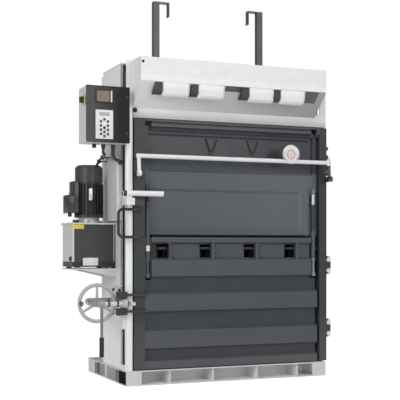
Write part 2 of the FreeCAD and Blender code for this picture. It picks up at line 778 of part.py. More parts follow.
def header_strip():
    """Header above the door, with the two upright strips that carry the hood."""
    strip = box(LEFT, RIGHT, FRONT, FRONT + HEADER_T, DOOR_Z1 + HEADER_GAP, HEADER_Z1)
    strip = strip.cut(box(LEFT, LEFT + POST_W, FRONT, FRONT + HEADER_T, DOOR_Z1, HEADER_Z1))
    uprights = [box(LEFT, LEFT + POST_W, FRONT, FRONT + UPRIGHT_T, HEADER_Z1, HEAD_TOP),
                box(RIGHT - POST_W, RIGHT, FRONT, FRONT + UPRIGHT_T, HEADER_Z1, HEAD_TOP)]
    bar = box(LEFT, RIGHT, FRONT, FRONT + UPRIGHT_T, HEADER_Z1, HEADER_Z1 + HEADER_BAR_H)
    tie = [box(RIGHT - POST_W, RIGHT, FRONT, CHAMBER_FRONT, DOOR_Z1 + HEADER_GAP, HEADER_Z1)]
    return fuse([strip, bar] + uprights + tie)


def hood_shell():
    """Folded hood with an upright fascia, a sloped underside and two cheeks."""
    y0 = FRONT - HOOD_DEPTH
    x0 = LEFT + HOOD_LEFT
    x1 = RIGHT - HOOD_RIGHT
    outer = [(FRONT, HEADER_Z1), (y0, HOOD_Z0), (y0, HEAD_TOP), (FRONT, HEAD_TOP)]
    inner = [(FRONT, HEADER_Z1 + HOOD_T * 1.5), (y0 + HOOD_T, HOOD_Z0 + HOOD_T * 0.5),
             (y0 + HOOD_T, HEAD_TOP - HOOD_T), (FRONT, HEAD_TOP - HOOD_T)]
    shell = prism_x(outer, x0, x1)
    return shell.cut(prism_x(inner, x0 + HOOD_T, x1 - HOOD_T))


def strap_scoops():
    """Four curved chutes below the fascia that lead the straps down."""
    y0 = FRONT - HOOD_DEPTH
    parts = []
    for x in SCOOP_X:
        x0 = x - SCOOP_W / 2
        x1 = x + SCOOP_W / 2
        outline = [(y0, HOOD_Z0 + 12), (y0, HOOD_Z0 - 30), (y0 + 12, SCOOP_Z0 + 16), (y0 + 34, SCOOP_Z0),
                   (y0 + 62, SCOOP_Z0), (y0 + 78, HOOD_Z0 - 74)]
        chute = prism_x(outline, x0, x1)
        slope = prism_x([(FRONT, HEADER_Z1), (y0, HOOD_Z0), (y0, HEAD_TOP), (FRONT, HEAD_TOP)], x0 - 5, x1 + 5)
        chute = chute.cut(slope)
        hollow = prism_x([(y0 + SCOOP_T, HOOD_Z0 + 12), (y0 + SCOOP_T, HOOD_Z0 - 30),
                          (y0 + 14, SCOOP_Z0 + 20), (y0 + 35, SCOOP_Z0 + SCOOP_T),
                          (y0 + 90, SCOOP_Z0 + SCOOP_T), (y0 + 90, HOOD_Z0 + 12)],
                         x0 - 5, x1 - SCOOP_T)
        parts.append(chute.cut(hollow))
    return group(parts)


# ---- hinges --------------------------------------------------------------------------
def hinge_brackets():
    """Frame side of each hinge: two knuckles on an arm from the right column."""
    parts = []
    for z in HINGE_Z:
        for side in (-1, 1):
            z0 = z + side * (KNUCKLE_H / 2 + KNUCKLE_CLEAR)
            z1 = z0 + side * FORK_KNUCKLE_H
            low, high = min(z0, z1), max(z0, z1)
            inner = DOOR_RIGHT + 3
            outer = HINGE_X + KNUCKLE_R
            arm = prism_z([(RIGHT, HINGE_FOOT_Y), (inner, HINGE_FOOT_Y), (inner, HINGE_Y), (outer, HINGE_Y),
                           (outer, HINGE_Y + LEAF_T), (RIGHT + 16, HINGE_FOOT_Y - 20),
                           (RIGHT + 16, HINGE_FOOT_Y + 60), (RIGHT, HINGE_FOOT_Y + 60)], low, high)
            ear = rod((HINGE_X, HINGE_Y, low), (HINGE_X, HINGE_Y, high), KNUCKLE_R)
            knuckle = fuse([arm, ear])
            parts.append(knuckle.cut(rod((HINGE_X, HINGE_Y, low), (HINGE_X, HINGE_Y, high), HINGE_PIN_R)))
        foot = box(RIGHT, RIGHT + HINGE_FOOT_T, HINGE_FOOT_Y, HINGE_FOOT_Y + HINGE_FOOT_D,
                   z - HINGE_FOOT_H / 2, z + HINGE_FOOT_H / 2)
        parts.append(foot)
    return group([fuse(parts[i:i + 3]) for i in range(0, len(parts), 3)])


def pivot_pins():
    """Hinge pins with nuts, and the two upper cylinder pins."""
    parts = []
    for z in HINGE_Z:
        half = KNUCKLE_H / 2 + KNUCKLE_CLEAR + FORK_KNUCKLE_H
        pin = rod((HINGE_X, HINGE_Y, z - half), (HINGE_X, HINGE_Y, z + half), HINGE_PIN_R)
        nuts = [hex_nut(HINGE_X, HINGE_Y, z + half, z + half + HINGE_NUT_H, HINGE_NUT_W),
                hex_nut(HINGE_X, HINGE_Y, z - half - HINGE_NUT_H, z - half, HINGE_NUT_W)]
        parts.append(fuse([pin] + nuts))
    reach = EYE_W / 2 + CHEEK_GAP + CHEEK_T
    for x, y in ((-CYL_PIVOT_X, GUIDE_Y - CYL_OFFSET), (CYL_PIVOT_X, GUIDE_Y + CYL_OFFSET)):
        parts.append(rod((x, y - reach, CYL_PIVOT_Z), (x, y + reach, CYL_PIVOT_Z), CYL_PIN_R))
    return group(parts)


def door_hinge_leaves():
    """Door side of each hinge: one knuckle on a leaf that is bolted to the right stile."""
    parts = []
    for z in HINGE_Z:
        z0 = z - KNUCKLE_H / 2
        z1 = z + KNUCKLE_H / 2
        leaf = box(DOOR_RIGHT, HINGE_X, HINGE_Y - KNUCKLE_R, HINGE_Y - KNUCKLE_R + LEAF_T, z0, z1)
        plate = box(DOOR_RIGHT, DOOR_RIGHT + 4, HINGE_Y - KNUCKLE_R + 5, HINGE_Y + 15, z0, z1)
        ear = rod((HINGE_X, HINGE_Y, z0), (HINGE_X, HINGE_Y, z1), KNUCKLE_R)
        knuckle = fuse([leaf, plate, ear])
        parts.append(knuckle.cut(rod((HINGE_X, HINGE_Y, z0), (HINGE_X, HINGE_Y, z1), HINGE_PIN_R + FIT)))
    return group(parts)


# ---- door ----------------------------------------------------------------------------
def door_stiles():
    """Left and right stiles of the full-height door, box sections with a flap track each."""
    y1 = FRONT + STILE_D
    left = box(DOOR_LEFT, PANEL_LEFT, FRONT, y1, DOOR_Z0, DOOR_Z1)
    wall = DOOR_WALL
    left = left.cut(box(DOOR_LEFT + wall, PANEL_LEFT - wall, FRONT + wall, y1 - wall, DOOR_Z0, DOOR_Z1))
    right = box(STILE_R_LEFT, DOOR_RIGHT, FRONT, y1, DOOR_Z0, DOOR_Z1)
    right = right.cut(box(STILE_R_LEFT + wall, DOOR_RIGHT - wall, FRONT + wall, y1 - wall, DOOR_Z0, DOOR_Z1))
    return group([left, right])


def door_rails():
    """Top rail, and the two flap tracks between the rails."""
    top = box(PANEL_LEFT, STILE_R_LEFT, FRONT, FLAP_Y - 3, DOOR_Z1 - TOP_RAIL_H, DOOR_Z1)
    lip = prism_x([(FLAP_Y - 3, DOOR_Z1 - TOP_RAIL_H), (FRONT + 14, DOOR_Z1 - TOP_RAIL_H),
                   (FLAP_Y - 12, DOOR_Z1 - TOP_RAIL_H - 16), (FLAP_Y - 3, DOOR_Z1 - TOP_RAIL_H - 16)],
                  PANEL_LEFT, STILE_R_LEFT)
    top = fuse([top, lip])
    for x in STRUT_X:
        top = top.cut(box(x - STRUT_INSET, x + STRUT_INSET, FRONT, FLAP_Y, FLAP_Z0,
                          STRUT_TOP + FLAP_TRAVEL + 14))
    back = FLAP_Y + FLAP_D
    track_l = box(PANEL_LEFT, PANEL_LEFT + 14, back + 2, FRONT + DOOR_D, FLAP_Z0, DOOR_Z1)
    track_r = box(STILE_R_LEFT - 14, STILE_R_LEFT, back + 2, FRONT + DOOR_D, FLAP_Z0, DOOR_Z1)
    return group([top, track_l, track_r])


def door_panel_outline():
    """Wavy (y, z) section of the lower door sheet, front side from the bottom up."""
    front = []
    for z0, z1 in BEAMS:
        if front:
            front += [(FRONT + RECESS, z0 - BEVEL), (FRONT, z0)]
        else:
            front += [(FRONT, z0)]
        front += [(FRONT, z1)]
        if z1 < PANEL_Z1:
            front += [(FRONT + RECESS, z1 + BEVEL)]
    back = [(y + PANEL_T, z) for y, z in reversed(front)]
    return front + back


def door_lower_panel():
    """Lower door sheet pressed into horizontal beams, with strap openings and strut notches."""
    panel = prism_x(door_panel_outline(), PANEL_LEFT, PANEL_RIGHT)
    z0 = BEAMS[3][1] + BEVEL
    z1 = BEAMS[4][0] - BEVEL
    for x in STRAP_X:
        window = box(x - WINDOW_LEFT, x + WINDOW_RIGHT, FRONT, FRONT + RECESS + PANEL_T, z0, z1)
        panel = panel.cut(window)
    for x in STRUT_X:
        notch = box(x - STRUT_INSET, x + STRUT_INSET, FRONT, FRONT + RECESS + PANEL_T,
                    STRUT_FOOT - STRUT_SINK, PANEL_Z1)
        panel = panel.cut(notch)
    return in_bands(panel, z0, z1)


def in_bands(sheet, z0, z1):
    """The sheet as welded strips: below, above, and the separate pieces between two heights."""
    band = box(LEFT, RIGHT + STILE_R_OUT, FRONT, FRONT + DOOR_D, z0, z1)
    return group(sheet.cut(band).Solids + sheet.common(band).Solids)


def door_back_plate():
    """Rear plate of the lower door with bearers that hold the pressed sheet."""
    z1 = PANEL_Z1
    plate = box(DOOR_LEFT, DOOR_RIGHT, FRONT + STILE_D, FRONT + DOOR_D, DOOR_Z0, z1)
    for x in STRAP_X:
        plate = plate.cut(box(x - GROOVE_W / 2, x + GROOVE_W / 2, FRONT + DOOR_D - STRAP_CUT, FRONT + DOOR_D,
                              DOOR_Z0, z1))
        plate = plate.cut(box(x - STRAP_SLOT_W / 2, x + STRAP_SLOT_W / 2, FRONT + STILE_D, FRONT + DOOR_D,
                              BEAMS[3][1] + BEVEL, BEAMS[4][0] - BEVEL))
    bearers = []
    for beam, rise in zip(BEAMS, BEARER_UP):
        z = beam[0] + rise - BEARER_T / 2
        bearers.append(box(PANEL_LEFT, PANEL_RIGHT, FRONT + PANEL_T, FRONT + STILE_D, z, z + BEARER_T))
    plate = fuse([plate] + bearers)
    for x in STRUT_X:
        plate = plate.cut(box(x - STRUT_INSET, x + STRUT_INSET, FRONT, FRONT + STILE_D,
                              STRUT_FOOT - STRUT_SINK, z1))
    return in_bands(plate, BEAMS[3][1] + BEVEL, BEAMS[4][0] - BEVEL)


def strap_ribs():
    """Upright guide rib beside each strap opening, and the cross rod behind the openings."""
    y = FRONT + RECESS + PANEL_T + STRAP_ROD_R + STRAP_ROD_GAP
    z0 = BEAMS[3][1]
    z1 = BEAMS[4][0]
    rod_z = (z0 + z1) / 2 + STRAP_ROD_RISE
    parts = []
    for x in STRAP_X:
        x0 = x + RIB_OFFSET - RIB_W / 2
        outline = [(FRONT + RECESS, z0 + BEVEL), (FRONT + RIB_GAP, z0 + RIB_GAP),
                   (FRONT + RIB_GAP, z1 - RIB_GAP), (FRONT + RECESS, z1 - BEVEL)]
        parts.append(prism_x(outline, x0, x0 + RIB_W))
    parts.append(rod((PANEL_LEFT, y, rod_z), (STILE_R_LEFT, y, rod_z), STRAP_ROD_R))
    return group(parts)


def door_lock_lugs():
    """Two blocks beside the post that the lock claw holds, each on an arm welded to the door."""
    parts = []
    for z0 in (LOCK_Z + LUG_GAP / 2, LOCK_Z - LUG_GAP / 2 - LUG_H):
        block = box(LUG_X0, LUG_X1, LUG_Y0, FRONT - POST_CLEAR, z0, z0 + LUG_H)
        arm_z = z0 + (LUG_H - LUG_ARM_H) / 2
        arm = prism_z([(LUG_X1, LUG_Y0 + LUG_ARM_Y[0]), (PANEL_LEFT, LUG_Y0 + LUG_ARM_Y[1]), (PANEL_LEFT, FRONT),
                       (DOOR_LEFT, FRONT), (DOOR_LEFT, FRONT - POST_CLEAR), (LUG_X1, FRONT - POST_CLEAR)],
                      arm_z, arm_z + LUG_ARM_H)
        parts.append(fuse([block, arm]))
    return group(parts)


# ---- loading flap --------------------------------------------------------------------
def flap_panel():
    """Pressed flap: edge frame, sheet, raised band, two V-shaped pockets and an upright fold."""
    x0 = PANEL_LEFT + FLAP_SIDE_GAP
    x1 = STILE_R_LEFT - FLAP_SIDE_GAP
    y0 = FLAP_Y
    y1 = FLAP_Y + FLAP_D
    face = y0 + SHEET_BACK
    raised = y0 + BAND_BACK
    side = x1 - FLAP_EDGE
    sheet = box(x0, x1, face, face + SHEET_T, FLAP_Z0, FLAP_Z1)
    frame = box(x0, x1, y0, y1, FLAP_Z0, FLAP_Z1)
    frame = frame.cut(box(x0 + FLAP_EDGE, x1 - FLAP_EDGE, y0, y1, FLAP_Z0 + FLAP_EDGE, FLAP_Z1 - FLAP_EDGE))
    band = prism_x([(face, BAND_Z0 - BAND_SLOPE), (raised, BAND_Z0), (raised, BAND_Z1), (face, BAND_Z1 + BAND_SLOPE)],
                   x0 + FLAP_EDGE, side)
    fold_x = x1 - FOLD_W
    fold = prism_z([(fold_x, face), (fold_x + BAND_SLOPE, raised), (side, raised), (side, face)],
                   FLAP_Z0 + FLAP_EDGE, BAND_Z0)
    flap = fuse([sheet, frame, band, fold])
    return flap.cut(flap_pockets())


def flap_pockets():
    """V-shaped recesses with a hole at the point, cut into the upper field of the flap."""
    cuts = []
    top = FLAP_Z1 - POCKET_TOP
    point = FLAP_Z1 - POCKET_POINT
    face = FLAP_Y + SHEET_BACK - 1
    for x in POCKET_X:
        cuts.append(prism_y([(x - POCKET_HALF, top), (x + POCKET_HALF, top), (x + POCKET_TIP, point),
                             (x - POCKET_TIP, point)], face, face + POCKET_D))
        hole_z = point + SHEET_T
        cuts.append(rod((x, face, hole_z), (x, FLAP_Y + SHEET_BACK + SHEET_T + 1, hole_z), POCKET_HOLE_R))
    return group(cuts)


def strut_barrels():
    """Gas strut barrels with their lower eyes, on the door."""
    parts = []
    for x in STRUT_X:
        barrel = rod((x, STRUT_Y, STRUT_FOOT + 105), (x, STRUT_Y, STRUT_SPLIT), STRUT_R)
        bore = rod((x, STRUT_Y, STRUT_FOOT + 115), (x, STRUT_Y, STRUT_SPLIT), STRUT_ROD_R + 0.5)
        foot = rod((x, STRUT_Y, STRUT_FOOT + 20), (x, STRUT_Y, STRUT_FOOT + 105), STRUT_R - 4)
        eye = box(x - STRUT_EYE, x + STRUT_EYE, STRUT_Y - 10, FRONT + STILE_D, STRUT_FOOT, STRUT_FOOT + 24)
        parts.append(fuse([barrel, foot, eye]).cut(bore))
    return group(parts)


def strut_rods():
    """Piston rods with the upper eyes, on the flap."""
    parts = []
    for x in STRUT_X:
        stem = rod((x, STRUT_Y, STRUT_FOOT + 120), (x, STRUT_Y, STRUT_TOP - 18), STRUT_ROD_R)
        eye = box(x - STRUT_EYE, x + STRUT_EYE, STRUT_Y - 10, FLAP_Y, STRUT_TOP - 20, STRUT_TOP + 8)
        parts.append(fuse([stem, eye]))
    return group(parts)


# ---- latch handle and bow ------------------------------------------------------------
def latch_housing():
    """Bearing block of the handle and a round-bar loop past the post, both on the left stile."""
    plate = box(LATCH_X - LATCH_HALF, PANEL_LEFT - LATCH_PLATE_IN, FRONT - LATCH_PLATE_T, FRONT, LATCH_Z0, LATCH_Z1)
    plate = plate.cut(box(LATCH_X - LATCH_HALF, DOOR_LEFT, FRONT - POST_CLEAR, FRONT, LATCH_Z0, LATCH_Z1))
    block = box(LATCH_X - LATCH_HALF, LATCH_X + LATCH_HALF, LATCH_Y - LATCH_HALF, FRONT - LATCH_PLATE_T,
                LATCH_Z0, LATCH_Z1)
    bore = rod((LATCH_X, LATCH_Y, LATCH_Z0), (LATCH_X, LATCH_Y, LATCH_Z1), LATCH_SPINDLE_R + FIT)
    z0, z1 = LOOP_Z
    loop = bent_rod([V(LOOP_ROOT_X, FRONT, z0), V(LOOP_ROOT_X, LOOP_Y, z0), V(LOOP_X, LOOP_Y, z0),
                     V(LOOP_X, LOOP_Y, z1), V(LOOP_ROOT_X, LOOP_Y, z1), V(LOOP_ROOT_X, FRONT, z1)],
                    LOOP_BEND, LOOP_R)
    return group([fuse([plate, block]).cut(bore), loop])


def latch_handle():
    """White tube handle on an upright spindle."""
    tube = ring((LATCH_X - HANDLE_LEFT, LATCH_Y, HANDLE_Z), (LATCH_X + HANDLE_RIGHT, LATCH_Y, HANDLE_Z),
                HANDLE_R, HANDLE_R - HANDLE_WALL)
    end = rod((LATCH_X + HANDLE_RIGHT - HANDLE_END, LATCH_Y, HANDLE_Z), (LATCH_X + HANDLE_RIGHT, LATCH_Y, HANDLE_Z),
              HANDLE_R - HANDLE_SEAT)
    spindle = rod((LATCH_X, LATCH_Y, LATCH_Z0 - SPINDLE_TAIL), (LATCH_X, LATCH_Y, HANDLE_Z - HANDLE_R + HANDLE_SEAT),
                  LATCH_SPINDLE_R)
    collar = rod((LATCH_X, LATCH_Y, LATCH_Z1 + HANDLE_SEAT),
                 (LATCH_X, LATCH_Y, HANDLE_Z - HANDLE_R + 2 * HANDLE_SEAT), LATCH_COLLAR_R)
    return fuse([tube, end, spindle, collar])


def bow_bar():
    """White bar across the door with an arm down to a pivot at each end."""
    left, right = BOW_X
    half = BOW_EYE_HALF
    arm_r = BOW_R - 2
    parts = [rod((left - BOW_R, BOW_Y, BOW_Z), (right + BOW_R, BOW_Y, BOW_Z), BOW_R)]
    for x in (left, right):
        parts.append(rod((x, BOW_Y, BOW_Z), (x, BOW_PIVOT_Y, BOW_PIVOT_Z), arm_r))
        parts.append(rod((x - half, BOW_PIVOT_Y, BOW_PIVOT_Z), (x + half, BOW_PIVOT_Y, BOW_PIVOT_Z), BOW_EYE_R))
    bow = fuse(parts)
    for x in (left, right):
        bow = bow.cut(rod((x - 2 * half, BOW_PIVOT_Y, BOW_PIVOT_Z), (x + 2 * half, BOW_PIVOT_Y, BOW_PIVOT_Z),
                          BOW_PIN_R + FIT))
    return bow


def bow_pivots():
    """Forked brackets on the stiles with a stub pin for each bow arm."""
    parts = []
    for x in BOW_X:
        x0 = x + BOW_EYE_HALF + BOW_EYE_GAP
        x1 = x0 + FORK_T
        fork = [box(x0, x1, BOW_PIVOT_Y - FORK_D, FRONT, BOW_PIVOT_Z - FORK_HALF, BOW_PIVOT_Z + FORK_HALF),
                rod((x - BOW_EYE_HALF, BOW_PIVOT_Y, BOW_PIVOT_Z), (x1, BOW_PIVOT_Y, BOW_PIVOT_Z), BOW_PIN_R)]
        parts.append(fuse(fork))
    return group(parts)


def sign_disc():
    """Round disc clamped on the bow."""
    x0 = SIGN_X - CLAMP_HALF
    x1 = SIGN_X + CLAMP_HALF
    front = BOW_Y - BOW_R
    disc = rod((SIGN_X, front - SIGN_T, SIGN_Z), (SIGN_X, front, SIGN_Z), SIGN_R)
    clamp = box(x0, x1, front, front + SIGN_T, BOW_Z - CLAMP_Z[0], BOW_Z + CLAMP_Z[1])
    hook = box(x0, x1, front, BOW_Y + 4, BOW_Z + BOW_R, BOW_Z + BOW_R + SIGN_T)
    return fuse([disc, clamp.cut(rod((x0, BOW_Y, BOW_Z), (x1, BOW_Y, BOW_Z), BOW_R)), hook])


# ---- ram -----------------------------------------------------------------------------
def platen():
    """Press platen: plate, rib grid and the two clevises for the cylinder rods."""
    half = CHAMBER_W / 2 - PLATEN_GAP
    y0 = CHAMBER_FRONT + PLATEN_GAP
    y1 = CHAMBER_BACK - PLATEN_BACK_GAP
    plate = box(-half, half, y0, y1, PLATEN_Z0, PLATEN_Z0 + PLATEN_T)
    for x in STRAP_X:
        plate = plate.cut(box(x - GROOVE_W / 2, x + GROOVE_W / 2, y0, y1, PLATEN_Z0, PLATEN_Z0 + PLATEN_GROOVE))
    rib = PLATEN_RIB_T
    z0 = PLATEN_Z0 + PLATEN_T - WELD
    z1 = PLATEN_Z0 + PLATEN_T + PLATEN_RIB
    parts = [plate]
    for y in (y0 + PLATEN_EDGE, GUIDE_Y - 8, y1 - PLATEN_EDGE - rib):
        parts.append(box(-half, half, y, y + rib, z0, z1))
    for x in (-half, -GUIDE_X - rib / 2, -rib / 2, GUIDE_X - rib / 2, half - rib):
        parts.append(box(x, x + rib, y0 + PLATEN_EDGE, y1 - PLATEN_EDGE, z0, z1))
    for x, y in ((ROD_EYE_X, GUIDE_Y - CYL_OFFSET), (-ROD_EYE_X, GUIDE_Y + CYL_OFFSET)):
        for side in (-1, 1):
            y_in = y + side * (EYE_W / 2 + CHEEK_GAP)
            y_out = y_in + side * CHEEK_T
            parts.append(box(x - CLEVIS_HALF, x + CLEVIS_HALF, min(y_in, y_out), max(y_in, y_out),
                             z0, ROD_EYE_Z + CLEVIS_TOP))
    return fuse(parts)


def guide_posts():
    """Square guide posts on the platen, with an inward stop arm at the top of each."""
    z0 = PLATEN_Z0 + PLATEN_T + PLATEN_RIB
    half = GUIDE_W / 2
    bore = half - GUIDE_WALL
    parts = []
    for x, inward in ((-GUIDE_X, 1), (GUIDE_X, -1)):
        post = box(x - half, x + half, GUIDE_Y - half, GUIDE_Y + half, z0, GUIDE_TOP)
        post = post.cut(box(x - bore, x + bore, GUIDE_Y - bore, GUIDE_Y + bore, z0, GUIDE_TOP - GUIDE_WALL))
        reach = sorted((x + inward * half, x + inward * (half + GUIDE_ARM)))
        arm = box(reach[0], reach[1], GUIDE_Y - half, GUIDE_Y + half, GUIDE_TOP - GUIDE_CAP, GUIDE_TOP)
        tip_x = x + inward * (half + GUIDE_ARM)
        tip = sorted((tip_x, tip_x - inward * ARM_TIP_T))
        plate = box(tip[0], tip[1], GUIDE_Y - half, GUIDE_Y + half, GUIDE_TOP - ARM_TIP_H, GUIDE_TOP - GUIDE_WALL)
        parts.append(fuse([post, arm, plate]))
    return group(parts)


def rod_axis():
    """Unit direction, at rest, from the left upper cylinder pivot to the opposite rod eye."""
    axis = V(CYL_PIVOT_X + ROD_EYE_X, 0, ROD_EYE_Z - CYL_PIVOT_Z)
    return axis / axis.Length, axis.Length


def along(origin, axis, distance):
    point = origin + axis * distance
    return (point.x, point.y, point.z)


def cylinder_barrel():
    """Barrel with its rear eye, drawn for the cylinder that hangs from the left."""
    axis, _ = rod_axis()
    y = GUIDE_Y - CYL_OFFSET
    pivot = V(-CYL_PIVOT_X, y, CYL_PIVOT_Z)
    tube = rod(along(pivot, axis, BARREL_START), along(pivot, axis, BARREL_END), BARREL_R)
    bore = rod(along(pivot, axis, BARREL_START + 40), along(pivot, axis, BARREL_END), ROD_R + 0.5)
    eye = rod((pivot.x, y - EYE_W / 2, pivot.z), (pivot.x, y + EYE_W / 2, pivot.z), EYE_R)
    neck = rod(along(pivot, axis, 10), along(pivot, axis, BARREL_START + 5), EYE_W / 2 - 2)
    gland = rod(along(pivot, axis, BARREL_END - 40), along(pivot, axis, BARREL_END), BARREL_R + 6)
    barrel = fuse([tube, eye, neck, gland])
    hole = rod((pivot.x, y - EYE_W, pivot.z), (pivot.x, y + EYE_W, pivot.z), CYL_PIN_R + FIT)
    return barrel.cut(bore).cut(hole)


def cylinder_rod():
    """Piston rod with an eye, for the cylinder that hangs from the left."""
    axis, length = rod_axis()
    y = GUIDE_Y - CYL_OFFSET
    pivot = V(-CYL_PIVOT_X, y, CYL_PIVOT_Z)
    stem = rod(along(pivot, axis, BARREL_START + 60), along(pivot, axis, length - EYE_R + 6), ROD_R)
    end = along(pivot, axis, length)
    eye = rod((end[0], y - EYE_W / 2, end[2]), (end[0], y + EYE_W / 2, end[2]), EYE_R)
    hole = rod((end[0], y - EYE_W, end[2]), (end[0], y + EYE_W, end[2]), CYL_PIN_R)
    return fuse([stem, eye]).cut(hole)


def opposite(shape):
    """The second cylinder: half a turn about the vertical line between the guide posts."""
    turned = shape.copy()
    turned.rotate(V(0, GUIDE_Y, 0), V(0, 0, 1), 180)
    return turned


def left_cylinder_barrel():
    return cylinder_barrel()


def right_cylinder_barrel():
    return opposite(cylinder_barrel())


def left_cylinder_rod():
    return cylinder_rod()


def right_cylinder_rod():
    return opposite(cylinder_rod())


def cylinder_brackets():
    """Pairs of cheeks under the head plate for the cylinders' upper pins."""
    top = HEAD_TOP - HEAD_PLATE_T
    parts = []
    for x, y in ((-CYL_PIVOT_X, GUIDE_Y - CYL_OFFSET), (CYL_PIVOT_X, GUIDE_Y + CYL_OFFSET)):
        for side in (-1, 1):
            y_in = y + side * (EYE_W / 2 + CHEEK_GAP)
            y_out = y_in + side * CHEEK_T
            low, high = min(y_in, y_out), max(y_in, y_out)
            tip_z = CYL_PIVOT_Z - BRACKET_DROP
            cheek = prism_y([(x - BRACKET_HALF, top), (x - BRACKET_TIP, tip_z), (x + BRACKET_TIP, tip_z),
                             (x + BRACKET_HALF, top)], low, high)
            parts.append(cheek.cut(rod((x, low, CYL_PIVOT_Z), (x, high, CYL_PIVOT_Z), CYL_PIN_R)))
    return group(parts)


# ---- power pack ----------------------------------------------------------------------
def tank_shelf():
    """Folded shelf with side brackets and four pads under the oil tank."""
    z1 = TANK_Z0 - SHELF_DROP
    y0 = TANK_Y0 + SHELF_LIP
    shelf = box(TANK_X0 + SHELF_DROP, LEFT, y0, COLUMN_Y1, z1 - SHELF_T, z1)
    parts = [shelf]
    for y in (y0, COLUMN_Y1 - SHELF_T):
        parts.append(prism_y([(LEFT, z1 - SHELF_T), (LEFT, z1 - SHELF_BRACKET),
                              (TANK_X0 + SHELF_BRACKET, z1 - SHELF_T)], y, y + SHELF_T))
    for x in (TANK_X0 + PAD_W, TANK_X1 - 50):
        for y in (TANK_Y0 + 25, COLUMN_Y1 - 50):
            parts.append(box(x, x + PAD_W, y, y + PAD_W, z1 - WELD, TANK_Z0))
    return fuse(parts)


def oil_tank():
    """Oil tank with a rim and a filler cap."""
    rim = TANK_RIM
    top = TANK_Z1 - TANK_LID
    body = box(TANK_X0 + rim, TANK_X1 - rim, TANK_Y0 + rim, TANK_Y1 - rim, TANK_Z0, top)
    upright = [edge for edge in body.Edges if abs(edge.tangentAt(edge.FirstParameter).z) > 0.99]
    body = body.makeFillet(TANK_ROUND, upright)
    lid = box(TANK_X0, TANK_X1, TANK_Y0, TANK_Y1, top, TANK_Z1)
    cap_x = TANK_X0 + CAP_IN
    cap_y = TANK_Y0 + CAP_BACK
    cap = rod((cap_x, cap_y, TANK_Z1), (cap_x, cap_y, TANK_Z1 + CAP_H), CAP_R)
    tank = fuse([body, lid, cap])
    inset = rim + TANK_WALL
    cavity = box(TANK_X0 + inset, TANK_X1 - inset, TANK_Y0 + inset, TANK_Y1 - inset, TANK_Z0 + TANK_WALL, top)
    opening = rod((MOTOR_X, MOTOR_Y, top), (MOTOR_X, MOTOR_Y, TANK_Z1), MOTOR_BELL_BORE)
    return tank.cut(cavity).cut(opening)


def motor_flange():
    """Bright mounting flange and bell between the tank lid and the motor."""
    step = TANK_Z1 + MOTOR_FLANGE_T
    low = rod((MOTOR_X, MOTOR_Y, TANK_Z1), (MOTOR_X, MOTOR_Y, step), MOTOR_FLANGE_R)
    high = rod((MOTOR_X, MOTOR_Y, step), (MOTOR_X, MOTOR_Y, MOTOR_Z0), MOTOR_BELL_R)
    bore = rod((MOTOR_X, MOTOR_Y, TANK_Z1), (MOTOR_X, MOTOR_Y, MOTOR_Z0), MOTOR_BELL_BORE)
    return fuse([low, high]).cut(bore)


def motor_body():
    """Finned motor housing with end shields, drawn round the upright axis and then set in place."""
    core = rod((0, 0, MOTOR_Z0), (0, 0, MOTOR_Z1), MOTOR_CORE_R)
    shield = rod((0, 0, MOTOR_Z0), (0, 0, MOTOR_Z0 + SHIELD_H), MOTOR_R)
    collar = rod((0, 0, MOTOR_Z1 - COLLAR_H), (0, 0, MOTOR_Z1), MOTOR_R - COLLAR_IN)
    parts = [core, shield, collar]
    for i in range(FIN_COUNT):
        fin = box(0, MOTOR_R, -FIN_T / 2, FIN_T / 2, MOTOR_Z0 + FIN_INSET[0], MOTOR_Z1 - FIN_INSET[1])
        fin.rotate(V(0, 0, 0), V(0, 0, 1), 360.0 * (i + 0.5) / FIN_COUNT)
        parts.append(fin)
    housing = fuse(parts).cut(rod((0, 0, MOTOR_Z0), (0, 0, MOTOR_Z1), SHAFT_R + FIT))
    return housing.translated(V(MOTOR_X, MOTOR_Y, 0))


def fan_cover():
    """Fan cover cup with a bevelled crown and a ring of air slots in it."""
    outer = MOTOR_R - FAN_COVER_IN
    inner = outer - FAN_WALL
    rim = FAN_Z1 - FAN_BEVEL
    outline = [(inner, MOTOR_Z1), (outer, MOTOR_Z1), (outer, rim), (outer - FAN_BEVEL, FAN_Z1), (0, FAN_Z1),
               (0, FAN_Z1 - FAN_WALL), (inner - FAN_BEVEL, FAN_Z1 - FAN_WALL), (inner, rim)]
    cup = turned_z(outline, MOTOR_X, MOTOR_Y)
    for i in range(FAN_SLOTS):
        slot = box(MOTOR_X + FAN_SLOT_R0, MOTOR_X + FAN_SLOT_R1, MOTOR_Y - FAN_SLOT_W / 2, MOTOR_Y + FAN_SLOT_W / 2,
                   FAN_Z1 - FAN_WALL - 1, FAN_Z1 + 1)
        slot.rotate(V(MOTOR_X, MOTOR_Y, 0), V(0, 0, 1), 360.0 * i / FAN_SLOTS)
        cup = cup.cut(slot)
    return cup


def motor_fan():
    """Motor shaft with the cooling fan under the cover."""
    shaft = rod((MOTOR_X, MOTOR_Y, TANK_Z1 + 4), (MOTOR_X, MOTOR_Y, FAN_Z1 - SHAFT_GAP), SHAFT_R)
    hub = rod((MOTOR_X, MOTOR_Y, MOTOR_Z1 + FAN_HUB_Z[0]), (MOTOR_X, MOTOR_Y, MOTOR_Z1 + FAN_HUB_Z[1]), FAN_HUB_R)
    parts = [shaft, hub]
    for i in range(BLADE_COUNT):
        blade = box(MOTOR_X + BLADE_R[0], MOTOR_X + BLADE_R[1], MOTOR_Y - BLADE_T / 2, MOTOR_Y + BLADE_T / 2,
                    MOTOR_Z1 + BLADE_Z[0], MOTOR_Z1 + BLADE_Z[1])
        blade.rotate(V(MOTOR_X, MOTOR_Y, 0), V(0, 0, 1), 360.0 * i / BLADE_COUNT)
        parts.append(blade)
    return fuse(parts)


